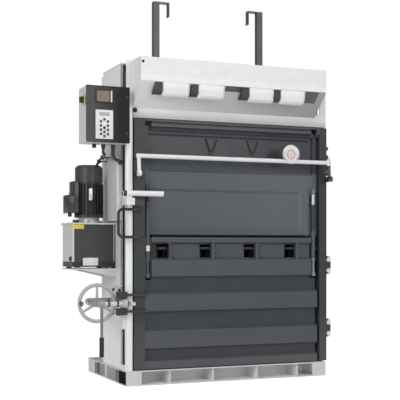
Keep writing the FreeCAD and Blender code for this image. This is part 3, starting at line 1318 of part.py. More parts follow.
def terminal_box():
    """Terminal box on the left of the motor with a gland below, and one for the cabinet cable."""
    x1 = MOTOR_X - MOTOR_CORE_R - SADDLE_GAP
    x0 = x1 - TERMINAL_L
    zc = (MOTOR_Z0 + MOTOR_Z1) / 2 + TERMINAL_RISE
    body = box(x0, x1, MOTOR_Y - TERMINAL_HALF_W, MOTOR_Y + TERMINAL_HALF_W,
               zc - TERMINAL_HALF_H, zc + TERMINAL_HALF_H)
    body = body.makeFillet(TERMINAL_ROUND, [edge for edge in body.Edges if edge.CenterOfMass.x < x0 + 1])
    saddle = box(x1, x1 + SADDLE_T, MOTOR_Y - SADDLE_HALF_W, MOTOR_Y + SADDLE_HALF_W,
                 zc - SADDLE_HALF_H, zc + SADDLE_HALF_H)
    core = rod((MOTOR_X, MOTOR_Y, MOTOR_Z0), (MOTOR_X, MOTOR_Y, MOTOR_Z1), MOTOR_R + 0.3)
    gland_x = x0 + TERMINAL_L / 2
    gland_z = zc - TERMINAL_HALF_H
    gland = rod((gland_x, MOTOR_Y - 20, gland_z - TERMINAL_GLAND_H), (gland_x, MOTOR_Y - 20, gland_z),
                TERMINAL_GLAND_R)
    return fuse([body.cut(core), saddle.cut(core), gland])


def conduit():
    """Cable conduit held between the cabinet's gland and the duct on the column."""
    end_x = LEFT - DUCT_D / 2
    points = [V(GLAND_X[0], GLAND_Y, CAB_Z0 - GLAND_H), V(GLAND_X[0], GLAND_Y, CONDUIT_Z + CONDUIT_DROP),
              V(end_x, DUCT_Y0 - CONDUIT_RUN, CONDUIT_Z), V(end_x, DUCT_Y0, CONDUIT_Z)]
    return bent_rod(points, CONDUIT_BEND, CONDUIT_R)


def duct_cover():
    """Shallow sheet cover with bevelled edges over the lines on the left column."""
    outline = [(LEFT, DUCT_Y0), (LEFT - DUCT_D + DUCT_BEVEL, DUCT_Y0), (LEFT - DUCT_D, DUCT_Y0 + DUCT_BEVEL),
               (LEFT - DUCT_D, DUCT_Y1 - DUCT_BEVEL), (LEFT - DUCT_D + DUCT_BEVEL, DUCT_Y1), (LEFT, DUCT_Y1)]
    return prism_z(outline, DUCT_Z0, DUCT_Z1)


# ---- control cabinet -----------------------------------------------------------------
def cabinet_body():
    """Cabinet box open to the front, with glands below and a wall bracket."""
    y0 = CAB_Y0 + CAB_COVER + CAB_GAP
    inset = CAB_INSET
    inner = CAB_INSET + CAB_WALL
    outer = box(CAB_X0 + inset, LEFT, y0, CAB_Y1, CAB_Z0 + inset, CAB_Z1 - inset)
    body = outer.cut(box(CAB_X0 + inner, LEFT - CAB_WALL, y0, CAB_Y1 - CAB_WALL, CAB_Z0 + inner, CAB_Z1 - inner))
    parts = [body]
    for x in GLAND_X:
        parts.append(rod((x, GLAND_Y, CAB_Z0 - GLAND_H), (x, GLAND_Y, CAB_Z0 + CAB_WALL), GLAND_R))
    face = CAB_X0 - SWITCH_BASE_T
    switch = rod((face, SWITCH_Y, SWITCH_Z), (CAB_X0 + CAB_WALL, SWITCH_Y, SWITCH_Z), SWITCH_BASE_R)
    hole = rod((face, SWITCH_Y, SWITCH_Z), (CAB_X0 + 2 * CAB_WALL, SWITCH_Y, SWITCH_Z), SWITCH_PIN_R + FIT)
    return fuse(parts + [switch]).cut(hole)


def cabinet_door():
    """Shallow cover tray hinged at its left edge."""
    outer = box(CAB_X0, LEFT, CAB_Y0, CAB_Y0 + CAB_COVER, CAB_Z0, CAB_Z1)
    wall = CAB_WALL
    return outer.cut(box(CAB_X0 + wall, LEFT - wall, CAB_Y0 + wall, CAB_Y0 + CAB_COVER,
                         CAB_Z0 + wall, CAB_Z1 - wall))


def cover_plate(across, up, thickness):
    """A flat plate on the cabinet cover, from (left, right) and (bottom, top) measured from its corner."""
    return box(CAB_X0 + across[0], CAB_X0 + across[1], CAB_Y0 - thickness, CAB_Y0, CAB_Z0 + up[0], CAB_Z0 + up[1])


def display_window():
    return cover_plate(DISPLAY_X, DISPLAY_Z, DISPLAY_T)


def keypad():
    return cover_plate(KEYPAD_X, KEYPAD_Z, KEYPAD_T)


def switch_knob():
    """Main switch knob with a grip bar."""
    x = SWITCH_X
    grip_x = x - SWITCH_T + WELD
    parts = [rod((x - SWITCH_T, SWITCH_Y, SWITCH_Z), (x, SWITCH_Y, SWITCH_Z), SWITCH_R),
             rod((x, SWITCH_Y, SWITCH_Z), (CAB_X0 + CAB_INSET + CAB_WALL, SWITCH_Y, SWITCH_Z), SWITCH_PIN_R),
             box(grip_x - SWITCH_GRIP_T, grip_x, SWITCH_Y - SWITCH_GRIP_W, SWITCH_Y + SWITCH_GRIP_W,
                 SWITCH_Z - SWITCH_GRIP_H, SWITCH_Z + SWITCH_GRIP_H)]
    return fuse(parts)


# ---- door lock -----------------------------------------------------------------------
def lock_bracket():
    """Bracket on the left column: guide for the draw bar and bearing arm for the spindle."""
    face = LEFT - LOCK_PLATE_T
    y1 = COLUMN_Y0 + LOCK_PLATE_D
    plate = box(face, LEFT, COLUMN_Y0, y1, LOCK_Z - LOCK_PLATE_HALF, LOCK_Z + LOCK_PLATE_HALF)
    guide = box(face - LOCK_GUIDE_W, face, COLUMN_Y0 + LOCK_GUIDE_Y[0], COLUMN_Y0 + LOCK_GUIDE_Y[1],
                LOCK_Z - LOCK_GUIDE_HALF, LOCK_Z + LOCK_GUIDE_HALF)
    front = SPINDLE_ARM_Y
    back = SPINDLE_ARM_Y + LOCK_ARM_T
    arm = box(WHEEL_X, face, front, back, LOCK_Z - LOCK_ARM_HALF, LOCK_Z + LOCK_ARM_HALF)
    boss = rod((WHEEL_X, front, LOCK_Z), (WHEEL_X, back, LOCK_Z), LOCK_BOSS_R)
    bracket = fuse([plate, guide, arm, boss])
    half = BAR_HALF + BAR_CLEAR
    bracket = bracket.cut(box(DRAW_X - half, DRAW_X + half, COLUMN_Y0, y1, LOCK_Z - half, LOCK_Z + half))
    return bracket.cut(rod((WHEEL_X, front, LOCK_Z), (WHEEL_X, back, LOCK_Z), SPINDLE_R + FIT))


def draw_bar():
    """Sliding bar with the bearing eye of the claw shaft in front and the spindle nut behind."""
    x0 = DRAW_X - BAR_HALF
    x1 = DRAW_X + BAR_HALF
    z0 = LOCK_Z - BAR_HALF
    z1 = LOCK_Z + BAR_HALF
    front = SPINDLE_NUT_Y
    back = SPINDLE_NUT_Y + NUT_T
    bar = box(x0, x1, LOCK_SHAFT_Y + BAR_START, back, z0, z1)
    eye = rod((x0, LOCK_SHAFT_Y, LOCK_Z), (x1, LOCK_SHAFT_Y, LOCK_Z), BAR_EYE_R)
    arm = box(WHEEL_X, DRAW_X, front, back, z0, z1)
    nut = rod((WHEEL_X, front, LOCK_Z), (WHEEL_X, back, LOCK_Z), NUT_R)
    bar = fuse([bar, eye, arm, nut])
    bar = bar.cut(rod((x0, LOCK_SHAFT_Y, LOCK_Z), (x1, LOCK_SHAFT_Y, LOCK_Z), LOCK_SHAFT_R + FIT))
    return bar.cut(rod((WHEEL_X, front, LOCK_Z), (WHEEL_X, back, LOCK_Z), SPINDLE_R + FIT))


def lock_shaft():
    """Claw shaft: claw at the right, lever hub and rod at the left."""
    shaft = rod((LOCK_SHAFT_X0, LOCK_SHAFT_Y, LOCK_Z), (LEFT + LOCK_SHAFT_IN, LOCK_SHAFT_Y, LOCK_Z), LOCK_SHAFT_R)
    end_y = LOCK_SHAFT_Y - CLAW_ARM
    claw = prism_x([(LOCK_SHAFT_Y, LOCK_Z + CLAW_TOP), (LOCK_SHAFT_Y, LOCK_Z - CLAW_ROOT),
                    (end_y, LOCK_Z - CLAW_END), (end_y, LOCK_Z + CLAW_TOP)],
                   LEFT - CLAW_OUT, LEFT - CLAW_OUT + CLAW_W)
    hub = rod((LOCK_SHAFT_X0, LOCK_SHAFT_Y, LOCK_Z), (LOCK_SHAFT_X0 + LEVER_HUB_L, LOCK_SHAFT_Y, LOCK_Z), LEVER_HUB_R)
    stem = rod((LEVER_X, LOCK_SHAFT_Y, LOCK_Z), (LEVER_X, LOCK_SHAFT_Y, LOCK_Z - LEVER_LEN - LEVER_SOCKET), LEVER_R)
    return fuse([shaft, claw, hub, stem])


def lever_grip():
    """Black grip on the lever, with bevelled ends."""
    z1 = LOCK_Z - LEVER_LEN
    z0 = z1 - GRIP_LEN
    outline = [(0, z0), (GRIP_R - GRIP_BEVEL, z0), (GRIP_R, z0 + GRIP_BEVEL), (GRIP_R, z1 - GRIP_BEVEL),
               (GRIP_R - GRIP_BEVEL, z1), (LEVER_R, z1), (LEVER_R, z1 - LEVER_SOCKET), (0, z1 - LEVER_SOCKET)]
    return turned_z(outline, LEVER_X, LOCK_SHAFT_Y)


def hand_wheel():
    """Three-spoke hand wheel with its spindle and the stud of the crank knob."""
    sixths = [math.radians(60 * i) for i in range(6)]
    section = [(RIM_MID + RIM_R * math.cos(a), WHEEL_Y + RIM_R * math.sin(a)) for a in sixths]
    rim = turned_y(section, WHEEL_X, LOCK_Z)
    hub = rod((WHEEL_X, WHEEL_Y - WHEEL_HUB_Y[0], LOCK_Z), (WHEEL_X, WHEEL_Y + WHEEL_HUB_Y[1], LOCK_Z), WHEEL_HUB_R)
    spindle = rod((WHEEL_X, WHEEL_Y, LOCK_Z), (WHEEL_X, SPINDLE_NUT_Y + SPINDLE_END, LOCK_Z), SPINDLE_R)
    parts = [rim, hub, spindle]
    for angle in (90, 210, 330):
        dx = math.cos(math.radians(angle)) * RIM_MID
        dz = math.sin(math.radians(angle)) * RIM_MID
        parts.append(rod((WHEEL_X, WHEEL_Y, LOCK_Z), (WHEEL_X + dx, WHEEL_Y, LOCK_Z + dz), SPOKE_R))
    stud_y = WHEEL_Y - KNOB_GAP - KNOB_LEN - STUD_TAIL
    parts.append(rod((KNOB_X, stud_y, LOCK_Z), (KNOB_X, WHEEL_Y, LOCK_Z), STUD_R))
    return fuse(parts)


def wheel_knob():
    """Crank knob that turns on the wheel's stud."""
    y1 = WHEEL_Y - KNOB_GAP
    y0 = y1 - KNOB_LEN
    bore = STUD_R + FIT
    neck = KNOB_R - KNOB_NECK
    step = y1 - KNOB_NECK_L
    outline = [(bore, y1), (neck, y1), (neck, step), (KNOB_R, step), (KNOB_R, y0), (bore, y0)]
    return turned_y(outline, KNOB_X, LOCK_Z)


NODES = (base_front_beam, base_rear_beam, base_side_rails, chamber_floor, left_side_wall, right_side_wall,
         side_columns, left_post, back_wall, retaining_claws, head_beams, head_plate, guide_sleeves,
         header_strip, hood_shell, strap_scoops, hinge_brackets, pivot_pins, door_hinge_leaves, door_stiles,
         door_rails, door_lower_panel, door_back_plate, strap_ribs, door_lock_lugs, flap_panel,
         strut_barrels, strut_rods, latch_housing, latch_handle, bow_bar, bow_pivots, sign_disc, platen,
         guide_posts, left_cylinder_barrel, right_cylinder_barrel, left_cylinder_rod, right_cylinder_rod,
         cylinder_brackets, tank_shelf, oil_tank, motor_flange, motor_body, fan_cover, motor_fan,
         terminal_box, conduit, duct_cover, cabinet_body, cabinet_door, display_window, keypad, switch_knob,
         lock_bracket, draw_bar, lock_shaft, lever_grip, hand_wheel, wheel_knob)


def main():
    os.makedirs("parts", exist_ok=True)
    for node in NODES:
        shape = node()
        shape.exportStep("parts/" + node.__name__ + ".step")
        print(node.__name__, len(shape.Solids), round(shape.Volume / 1000), shape.isValid())


main()
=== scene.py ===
# %% [markdown]
# # A vertical recycling baler
# An upright press that squeezes cardboard or film into a strapped bale. The CAD model gives every
# welded and machined part its place; this lesson gives them their finishes and adds what CAD leaves
# plain: bolt heads, weld beads, the hand wheel's round rim, grips, the keypad, seals and cables.

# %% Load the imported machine
import math
import bpy
import bmesh
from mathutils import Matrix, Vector


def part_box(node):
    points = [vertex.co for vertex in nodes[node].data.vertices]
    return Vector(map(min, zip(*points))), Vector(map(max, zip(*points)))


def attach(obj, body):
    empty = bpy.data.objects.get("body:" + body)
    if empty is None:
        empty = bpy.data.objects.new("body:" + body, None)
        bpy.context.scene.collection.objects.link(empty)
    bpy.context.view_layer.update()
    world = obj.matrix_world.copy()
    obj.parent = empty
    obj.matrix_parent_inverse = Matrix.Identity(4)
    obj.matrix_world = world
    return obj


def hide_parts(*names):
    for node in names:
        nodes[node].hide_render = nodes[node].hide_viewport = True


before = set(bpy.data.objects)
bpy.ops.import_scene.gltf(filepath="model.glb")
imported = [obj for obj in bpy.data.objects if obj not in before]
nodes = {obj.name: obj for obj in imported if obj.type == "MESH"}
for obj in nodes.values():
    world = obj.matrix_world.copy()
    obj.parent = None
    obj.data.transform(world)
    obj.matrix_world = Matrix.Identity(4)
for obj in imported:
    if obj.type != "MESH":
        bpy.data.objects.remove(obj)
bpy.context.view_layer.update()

scene = bpy.context.scene

# %% [markdown]
# ## Camera
# The place and lens were fitted to straight edges of the picture: left of the front and 0.85 m above
# the floor. The camera is held level and its frame is shifted up, as with a shift lens. That keeps
# the machine's uprights parallel, where a camera that is tilted up would let them lean together.

# %% Camera
camera_data = bpy.data.cameras.new("camera")
camera_data.lens = 87.8
camera_data.sensor_width = 36.0
camera_data.shift_y = 0.1215
camera = bpy.data.objects.new("camera", camera_data)
camera.location = (-2.581, -6.129, 0.850)
camera.rotation_euler = (math.radians(90), 0, math.radians(-22.553))
scene.collection.objects.link(camera)
scene.camera = camera
print("camera distance to the middle of the base:", round(camera.location.length, 2))

# %% [markdown]
# ## Node helpers
# Every finish below is a node tree. Written out in full, each would fill a page, so small helpers
# add a node with its settings, wire two sockets, or make what most finishes share: a noise on the
# piece's own coordinates, a range, a bump, and the shader at the end.


# %% Node helpers
def add(tree, kind, settings=None, **inputs):
    """A new node; settings are its options, the rest are values of its input sockets."""
    node = tree.nodes.new(kind)
    for key, value in (settings or {}).items():
        setattr(node, key, value)
    for key, value in inputs.items():
        node.inputs[key.replace("_", " ")].default_value = value
    return node


def wire(tree, output, target):
    tree.links.new(output, target)


def new_material(name):
    material = bpy.data.materials.new(name)
    material.use_nodes = True
    tree = material.node_tree
    tree.nodes.clear()
    output = tree.nodes.new("ShaderNodeOutputMaterial")
    return material, tree, output


def math_node(tree, operation, first, second):
    node = add(tree, "ShaderNodeMath", {"operation": operation})
    for socket, value in zip(node.inputs, (first, second)):
        if isinstance(value, (int, float)):
            socket.default_value = value
        else:
            wire(tree, value, socket)
    return node.outputs[0]


def mix_colour(tree, factor, first, second, blend="MIX"):
    node = add(tree, "ShaderNodeMix", {"data_type": "RGBA", "blend_type": blend})
    for socket, value in ((node.inputs[0], factor), (node.inputs[6], first), (node.inputs[7], second)):
        if isinstance(value, (int, float)):
            socket.default_value = value
        elif isinstance(value, tuple):
            socket.default_value = (*value, 1.0)
        else:
            wire(tree, value, socket)
    return node.outputs[2]


def noise(tree, place, **inputs):
    """A noise pattern on the given coordinates."""
    texture = add(tree, "ShaderNodeTexNoise", **inputs)
    wire(tree, place, texture.inputs["Vector"])
    return texture.outputs["Fac"]


def ranged(tree, value, **limits):
    """A value mapped from one range to another; a limit that isn't given is 0 or 1."""
    node = add(tree, "ShaderNodeMapRange", **limits)
    wire(tree, value, node.inputs["Value"])
    return node.outputs["Result"]


def patchy_roughness(tree, pattern, low, high):
    """Roughness that follows a noise over the middle of its range, where most of its values lie."""
    return ranged(tree, pattern, From_Min=0.3, From_Max=0.7, To_Min=low, To_Max=high)


def bumped(tree, height, strength, depth, normal=None):
    bump = add(tree, "ShaderNodeBump", Strength=strength, Distance=depth)
    wire(tree, height, bump.inputs["Height"])
    if normal is not None:
        wire(tree, normal, bump.inputs["Normal"])
    return bump.outputs[0]


def close_with_shader(tree, output, wired, **constants):
    """Ends a finish with one shader: wired says what feeds an input, the rest are constants on it."""
    shader = add(tree, "ShaderNodeBsdfPrincipled", **constants)
    for label, source in wired.items():
        wire(tree, source, shader.inputs[label])
    wire(tree, shader.outputs[0], output.inputs["Surface"])


print("node helpers are ready")

# %% [markdown]
# ## Floor, background and light
# A plain white studio. Camera rays see a white world and a nearly white floor, while the machine is
# lit by three soft lamps and a dim grey world, so pale paint keeps its shading.


# %% Floor
def floor_material():
    material, tree, output = new_material("studio_floor")
    rays = add(tree, "ShaderNodeLightPath")
    seen = math_node(tree, "MAXIMUM", rays.outputs["Is Camera Ray"], rays.outputs["Is Glossy Ray"])
    grain = add(tree, "ShaderNodeTexNoise", Scale=1.4, Detail=3.0)
    tone = mix_colour(tree, grain.outputs["Fac"], (0.86, 0.86, 0.86), (0.90, 0.90, 0.90))
    matt = add(tree, "ShaderNodeBsdfPrincipled", Roughness=0.9)
    wire(tree, tone, matt.inputs["Base Color"])
    glow = add(tree, "ShaderNodeEmission", Color=(1, 1, 1, 1), Strength=0.80)
    total = add(tree, "ShaderNodeAddShader")
    wire(tree, matt.outputs[0], total.inputs[0])
    wire(tree, glow.outputs[0], total.inputs[1])
    choice = add(tree, "ShaderNodeMixShader")
    wire(tree, seen, choice.inputs[0])
    wire(tree, matt.outputs[0], choice.inputs[1])
    wire(tree, total.outputs[0], choice.inputs[2])
    wire(tree, choice.outputs[0], output.inputs["Surface"])
    return material


def studio_floor(radius=30.0, sides=64):
    mesh = bpy.data.meshes.new("studio_floor")
    rim = [(radius * math.cos(2 * math.pi * i / sides), radius * math.sin(2 * math.pi * i / sides), 0)
           for i in range(sides)]
    mesh.from_pydata(rim, [], [list(range(sides))])
    floor = bpy.data.objects.new("studio_floor", mesh)
    scene.collection.objects.link(floor)
    floor.data.materials.append(floor_material())
    return floor


print("floor sides:", len(studio_floor().data.vertices))


# %% World and lamps
def studio_world(strength):
    world = bpy.data.worlds.new("studio")
    world.use_nodes = True
    tree = world.node_tree
    tree.nodes.clear()
    rays = add(tree, "ShaderNodeLightPath")
    seen = math_node(tree, "MAXIMUM", rays.outputs["Is Camera Ray"], rays.outputs["Is Transmission Ray"])
    level = ranged(tree, seen, To_Min=strength, To_Max=1.0)
    sky = add(tree, "ShaderNodeBackground", Color=(1, 1, 1, 1))
    wire(tree, level, sky.inputs["Strength"])
    output = tree.nodes.new("ShaderNodeOutputWorld")
    wire(tree, sky.outputs[0], output.inputs["Surface"])
    scene.world = world


def soft_lamp(name, place, aim, size, watts):
    data = bpy.data.lights.new(name, "AREA")
    data.shape = "RECTANGLE"
    data.size, data.size_y = size
    data.energy = watts
    lamp = bpy.data.objects.new(name, data)
    lamp.location = place
    lamp.rotation_euler = (Vector(aim) - Vector(place)).to_track_quat("-Z", "Y").to_euler()
    scene.collection.objects.link(lamp)
    return lamp


scene.view_settings.view_transform = "Standard"
studio_world(0.26)
soft_lamp("key_left", (-5.2, -3.6, 3.4), (-0.4, -0.2, 1.1), (3.0, 3.0), 150)
soft_lamp("front_fill", (1.6, -6.2, 3.2), (0.2, -0.3, 1.2), (4.0, 3.0), 100)
soft_lamp("top", (0.2, -1.6, 5.2), (0.0, -0.2, 1.4), (3.0, 3.0), 70)

# %% [markdown]
# ## Powder coat
# Most of the machine is powder-coated sheet. Up close the film has a fine orange-peel ripple, its
# tone drifts a little over a metre, fingers and cardboard rub dull patches into it, dust settles
# near the floor, and bent edges wear brighter. The edge mask compares the rounded normal of a Bevel
# node with the flat one, so it finds every edge without knowing the mesh. A box mask gives a region
# of a piece another coat or painted shade, and a fade paints a piece lighter or darker along one
# axis as painted light and shade; both are simpler than cutting its mesh.


# %% Edge and box masks
def edge_mask(tree, radius):
    """1 on edges of the mesh and 0 on flat faces, with the rounded normal beside it."""
    bevel = add(tree, "ShaderNodeBevel", {"samples": 4}, Radius=radius)
    flat = add(tree, "ShaderNodeNewGeometry")
    match = add(tree, "ShaderNodeVectorMath", {"operation": "DOT_PRODUCT"})
    wire(tree, bevel.outputs[0], match.inputs[0])
    wire(tree, flat.outputs["Normal"], match.inputs[1])
    mask = ranged(tree, match.outputs["Value"], From_Min=0.97, From_Max=0.82, To_Min=0.0, To_Max=1.0)
    return mask, bevel.outputs[0]


def inside(tree, place, low, high):
    """1 where a point lies in a box of the shared frame, else 0."""
    offset = add(tree, "ShaderNodeVectorMath", {"operation": "SUBTRACT"})
    wire(tree, place, offset.inputs[0])
    offset.inputs[1].default_value = tuple((a + b) / 2 for a, b in zip(low, high))
    away = add(tree, "ShaderNodeVectorMath", {"operation": "ABSOLUTE"})
    wire(tree, offset.outputs[0], away.inputs[0])
    split = add(tree, "ShaderNodeSeparateXYZ")
    wire(tree, away.outputs[0], split.inputs[0])
    limits = [math_node(tree, "LESS_THAN", split.outputs[axis], (b - a) / 2)
              for axis, a, b in zip("XYZ", low, high)]
    return math_node(tree, "MULTIPLY", limits[0], math_node(tree, "MULTIPLY", limits[1], limits[2]))


def drifting(tree, factor, colour, drift):
    """A colour that wanders a share darker and lighter with a pattern."""
    darker = tuple(c * (1 - drift) for c in colour)
    lighter = tuple(min(1.0, c * (1 + drift)) for c in colour)
    return mix_colour(tree, factor, darker, lighter)


# %% Powder coat
DUST = (0.36, 0.33, 0.29)
DUST_HEIGHT = 0.45
WORN_EDGE = 0.003
PEEL_DEPTH = 0.0004


def painted(name, colour, worn, roughness=0.42, drift=0.06, ripple=0.12, dust=0.25, edge=0.5,
            clear=0.0, shine=0.5, places=(), fades=()):
    """A powder-coated surface; places lists (low, high, colour) boxes coated in another colour or painted in
    shade or light.

    fades holds (axis, start, end, share), which is painted light or shade: the tone turns to that share of
    itself between two positions.
    """
    material, tree, output = new_material(name)
    place = add(tree, "ShaderNodeTexCoord").outputs["Object"]
    cloud = noise(tree, place, Scale=1.7, Detail=3.0, Roughness=0.55)
    rub = noise(tree, place, Scale=14.0, Detail=6.0, Roughness=0.62)
    peel = noise(tree, place, Scale=420.0, Detail=2.0)
    split = add(tree, "ShaderNodeSeparateXYZ")
    wire(tree, place, split.inputs[0])
    tone = drifting(tree, cloud, colour, drift)
    low = ranged(tree, split.outputs["Z"], From_Min=DUST_HEIGHT, From_Max=0.0, To_Min=0.0, To_Max=dust)
    tone = mix_colour(tree, math_node(tree, "MULTIPLY", low, rub), tone, DUST)
    mask, rounded = edge_mask(tree, WORN_EDGE)
    patchy = math_node(tree, "MULTIPLY", mask, math_node(tree, "MULTIPLY", rub, edge))
    tone = mix_colour(tree, patchy, tone, worn)
    for axis, start, end, share in fades:
        ramp = ranged(tree, split.outputs[axis], From_Min=start, From_Max=end)
        shaded = mix_colour(tree, 1.0, tone, (share, share, share), blend="MULTIPLY")
        tone = mix_colour(tree, ramp, tone, shaded)
    for corner, far_corner, other in places:
        here = inside(tree, place, corner, far_corner)
        tone = mix_colour(tree, here, tone, drifting(tree, rub, other, drift * 2))
    close_with_shader(tree, output, {
        "Base Color": tone,
        "Roughness": patchy_roughness(tree, rub, roughness - 0.07, roughness + 0.09),
        "Normal": bumped(tree, peel, ripple, PEEL_DEPTH, rounded),
    }, Coat_Weight=clear, Coat_Roughness=0.12, Specular_IOR_Level=shine)
    return material


# %% [markdown]
# ## The machine's paints
# The frame is light grey, the door anthracite, handles white and motor and fittings black. One
# function makes them all, so a finish is a line of values. Where shade falls, as inside an open
# channel, in a recess or behind a gap, a box in places paints it in as a darker tone; where light
# falls unevenly, a fade paints a piece lighter or darker along one axis. Some places are a real
# second tone of the piece. The boxes are given in the shared frame, a hair outside the faces that
# they cover.

# %% Light grey frame paints
GREY = (0.70, 0.70, 0.69)
GREY_WORN = (0.85, 0.85, 0.84)
HANDLE_WORN = (0.90, 0.90, 0.89)
FITTING_WORN = (0.15, 0.15, 0.15)
BLACK = (0.020, 0.021, 0.023)
STILE_TONE = (0.040, 0.046, 0.051)
# Bounds of the boxes: a hair outside the left face, 7.5 mm inside it, 8.5 mm behind the front edge,
# and the heights that the painted shade and light cover.
SIDE = -0.7005
LEDGE = -0.6925
BEAM_FRONT = -0.4115
BEAM_LOW, BEAM_TOP = 0.0079, 0.0871
RAIL_LOW, RAIL_TOP = 0.010, 0.085
# Painted light: the left side is painted lighter towards the floor and towards the top.
SIDE_PAINTED_LIGHT = [("Z", 0.72, 0.25, 1.38), ("Z", 1.70, 1.90, 1.32)]
frame_paint = painted("frame_light_grey", GREY, GREY_WORN, roughness=0.40)
# Painted light and shade: the inside of the beam's channel is painted lighter to undo its shade, and its left
# end black as the shade in its open end.
base_paint = painted("base_light_grey", GREY, GREY_WORN, roughness=0.40,
                     places=[((-0.6, BEAM_FRONT, BEAM_LOW), (0.6, -0.2, BEAM_TOP), (0.86, 0.86, 0.86)),
                             ((SIDE, BEAM_FRONT, BEAM_LOW), (-0.6, -0.2, BEAM_TOP), BLACK)])
# Painted shade: dark bands on the rail's outer face stand for the shade inside an opening that isn't
# modelled.
rail_paint = painted("base_rail_painted_shade", GREY, GREY_WORN, roughness=0.42, places=[
    ((SIDE, start, RAIL_LOW), (LEDGE, end, RAIL_TOP), tone)
    for start, end, tone in ((-0.262, -0.200, (0.020, 0.020, 0.022)), (-0.200, -0.012, (0.26, 0.26, 0.265)),
                             (0.030, 0.1175, (0.16, 0.16, 0.165)), (0.1175, 0.2605, (0.035, 0.035, 0.037)))])
# Painted shade: the header darkens towards its lower edge.
header_paint = painted("header_light_grey", (0.76, 0.76, 0.76), GREY_WORN, roughness=0.40,
                       fades=[("Z", 1.705, 1.665, 0.66)])
# Painted shade: the column's inside faces are darker, and so are strips on its outer face beside the front
# gap, as the shade in that gap.
column_paint = painted("column_light_grey", GREY, GREY_WORN, roughness=0.40, fades=SIDE_PAINTED_LIGHT,
                       places=[((-0.6955, -0.9, 0.0), (0.6955, 0.9, 2.1), (0.12, 0.12, 0.125)),
                               ((SIDE, -0.3355, 0.13), (-0.6995, -0.310, 0.345), (0.30, 0.30, 0.31)),
                               ((SIDE, -0.3355, 0.62), (-0.6995, -0.308, 2.01), (0.27, 0.27, 0.28))])
wall_paint = painted("wall_two_tone", GREY, GREY_WORN, roughness=0.42, fades=SIDE_PAINTED_LIGHT,
                     places=[((-0.6005, -0.314, 0.0), (0.6005, 0.2255, 2.1), (0.27, 0.28, 0.29))])
# Painted shade on the hood: the slope darkens towards the right, and the HOOD_SHADE boxes paint shade under
# the fascia's lip; the fascia and the top keep their own tones.
HOOD_TONE = (0.84, 0.84, 0.83)
HOOD_SHADE = (0.07, 0.07, 0.072)
hood_paint = painted("hood_light_grey", HOOD_TONE, HANDLE_WORN, roughness=0.40,
                     fades=[("X", -0.62, 0.60, 0.43)],
                     places=[((-0.7, -0.58, 1.8655), (0.7, -0.5725, 2.05), HOOD_TONE),
                             ((-0.7, -0.60, 1.9), (0.7, -0.40, 2.05), (0.80, 0.80, 0.79)),
                             ((-0.099, -0.5757, 1.835), (0.058, -0.40, 1.8655), HOOD_SHADE),
                             ((0.469, -0.5757, 1.800), (0.565, -0.40, 1.8655), HOOD_SHADE)])
cabinet_paint = painted("cabinet_light_grey", GREY, GREY_WORN, roughness=0.38, dust=0.0,
                        places=[((-1.2, -0.6, 1.3), (-0.6, -0.2, 1.4897), BLACK)])
tank_paint = painted("tank_two_tone", (0.66, 0.66, 0.65), GREY_WORN, roughness=0.40, dust=0.0, shine=0.35,
                     places=[((-1.2, -0.3, 0.6), (-0.6, -0.2135, 1.0019), (0.047, 0.048, 0.043)),
                             ((-1.2, -0.3, 0.6), (-0.6, 0.2, 0.768), (0.02, 0.021, 0.021))])
post_shine = painted("post_light_grey", (0.92, 0.92, 0.91), GREY_WORN, roughness=0.30, clear=0.3)
hinge_paint = painted("hinge_light_grey", (0.80, 0.80, 0.79), GREY_WORN, roughness=0.36)
print("light grey finishes:", len(bpy.data.materials) - 1)

# %% Door, flap and power pack paints
# Painted shade on the door: the recessed grooves are darker, the left part of the strap recess is black, and
# the door darkens towards the bottom.
GROOVE_PAINTED_SHADE = (0.036, 0.041, 0.050)
GROOVE_FRONT, GROOVE_BACK = -0.3925, -0.3915
GROOVE_HEIGHTS = ((0.164, 0.216), (0.352, 0.448), (0.580, 0.664))
door_paint = painted("door_anthracite", (0.071, 0.080, 0.095), (0.22, 0.23, 0.25), roughness=0.36,
                     drift=0.12, edge=0.7, shine=0.35, fades=[("Z", 0.62, 0.30, 0.80)],
                     places=[((-0.60, -0.5, 0.792), (-0.414, -0.30, 0.879), BLACK)]
                     + [((-0.60, GROOVE_FRONT, z0), (0.66, GROOVE_BACK, z1), GROOVE_PAINTED_SHADE)
                        for z0, z1 in GROOVE_HEIGHTS])
# Painted shade: the back plate, seen through the strap windows, is painted near black.
shade_black_paint = painted("door_back_shade_black", (0.018, 0.020, 0.024), (0.10, 0.10, 0.11),
                           roughness=0.4, shine=0.3)
# Painted light: the flap turns lighter towards its right; its upper part is darker.
flap_paint = painted("flap_anthracite", (0.080, 0.092, 0.106), (0.26, 0.27, 0.29), roughness=0.33,
                     drift=0.12, edge=0.7, shine=0.4, fades=[("X", -0.25, 0.55, 1.35)],
                     places=[((-0.7, -0.6, 1.350), (0.7, 0.0, 1.7), (0.044, 0.048, 0.056))])
stile_paint = painted("stile_anthracite", STILE_TONE, (0.24, 0.25, 0.26), roughness=0.34,
                      drift=0.08, shine=0.3)
# Painted shade: the cover darkens towards its right; a black band runs along its top edge.
cover_paint = painted("cover_charcoal", (0.085, 0.083, 0.084), (0.12, 0.12, 0.11), roughness=0.42,
                      dust=0.0, shine=0.12, fades=[("X", -0.94, -0.76, 0.18)],
                      places=[((-1.1, -0.6, 1.8235), (-0.6, -0.3, 1.84), BLACK)])
motor_paint = painted("motor_charcoal", BLACK, (0.14, 0.14, 0.14), roughness=0.30, ripple=0.3,
                      dust=0.0, clear=0.25)
fan_paint = painted("fan_cover_charcoal", (0.048, 0.048, 0.049), (0.18, 0.18, 0.18), roughness=0.34,
                    ripple=0.3, dust=0.0)
post_paint = painted("guide_post_grey", (0.070, 0.072, 0.074), (0.22, 0.22, 0.22), roughness=0.36,
                     dust=0.0)
print("with the dark finishes:", len(bpy.data.materials) - 1)

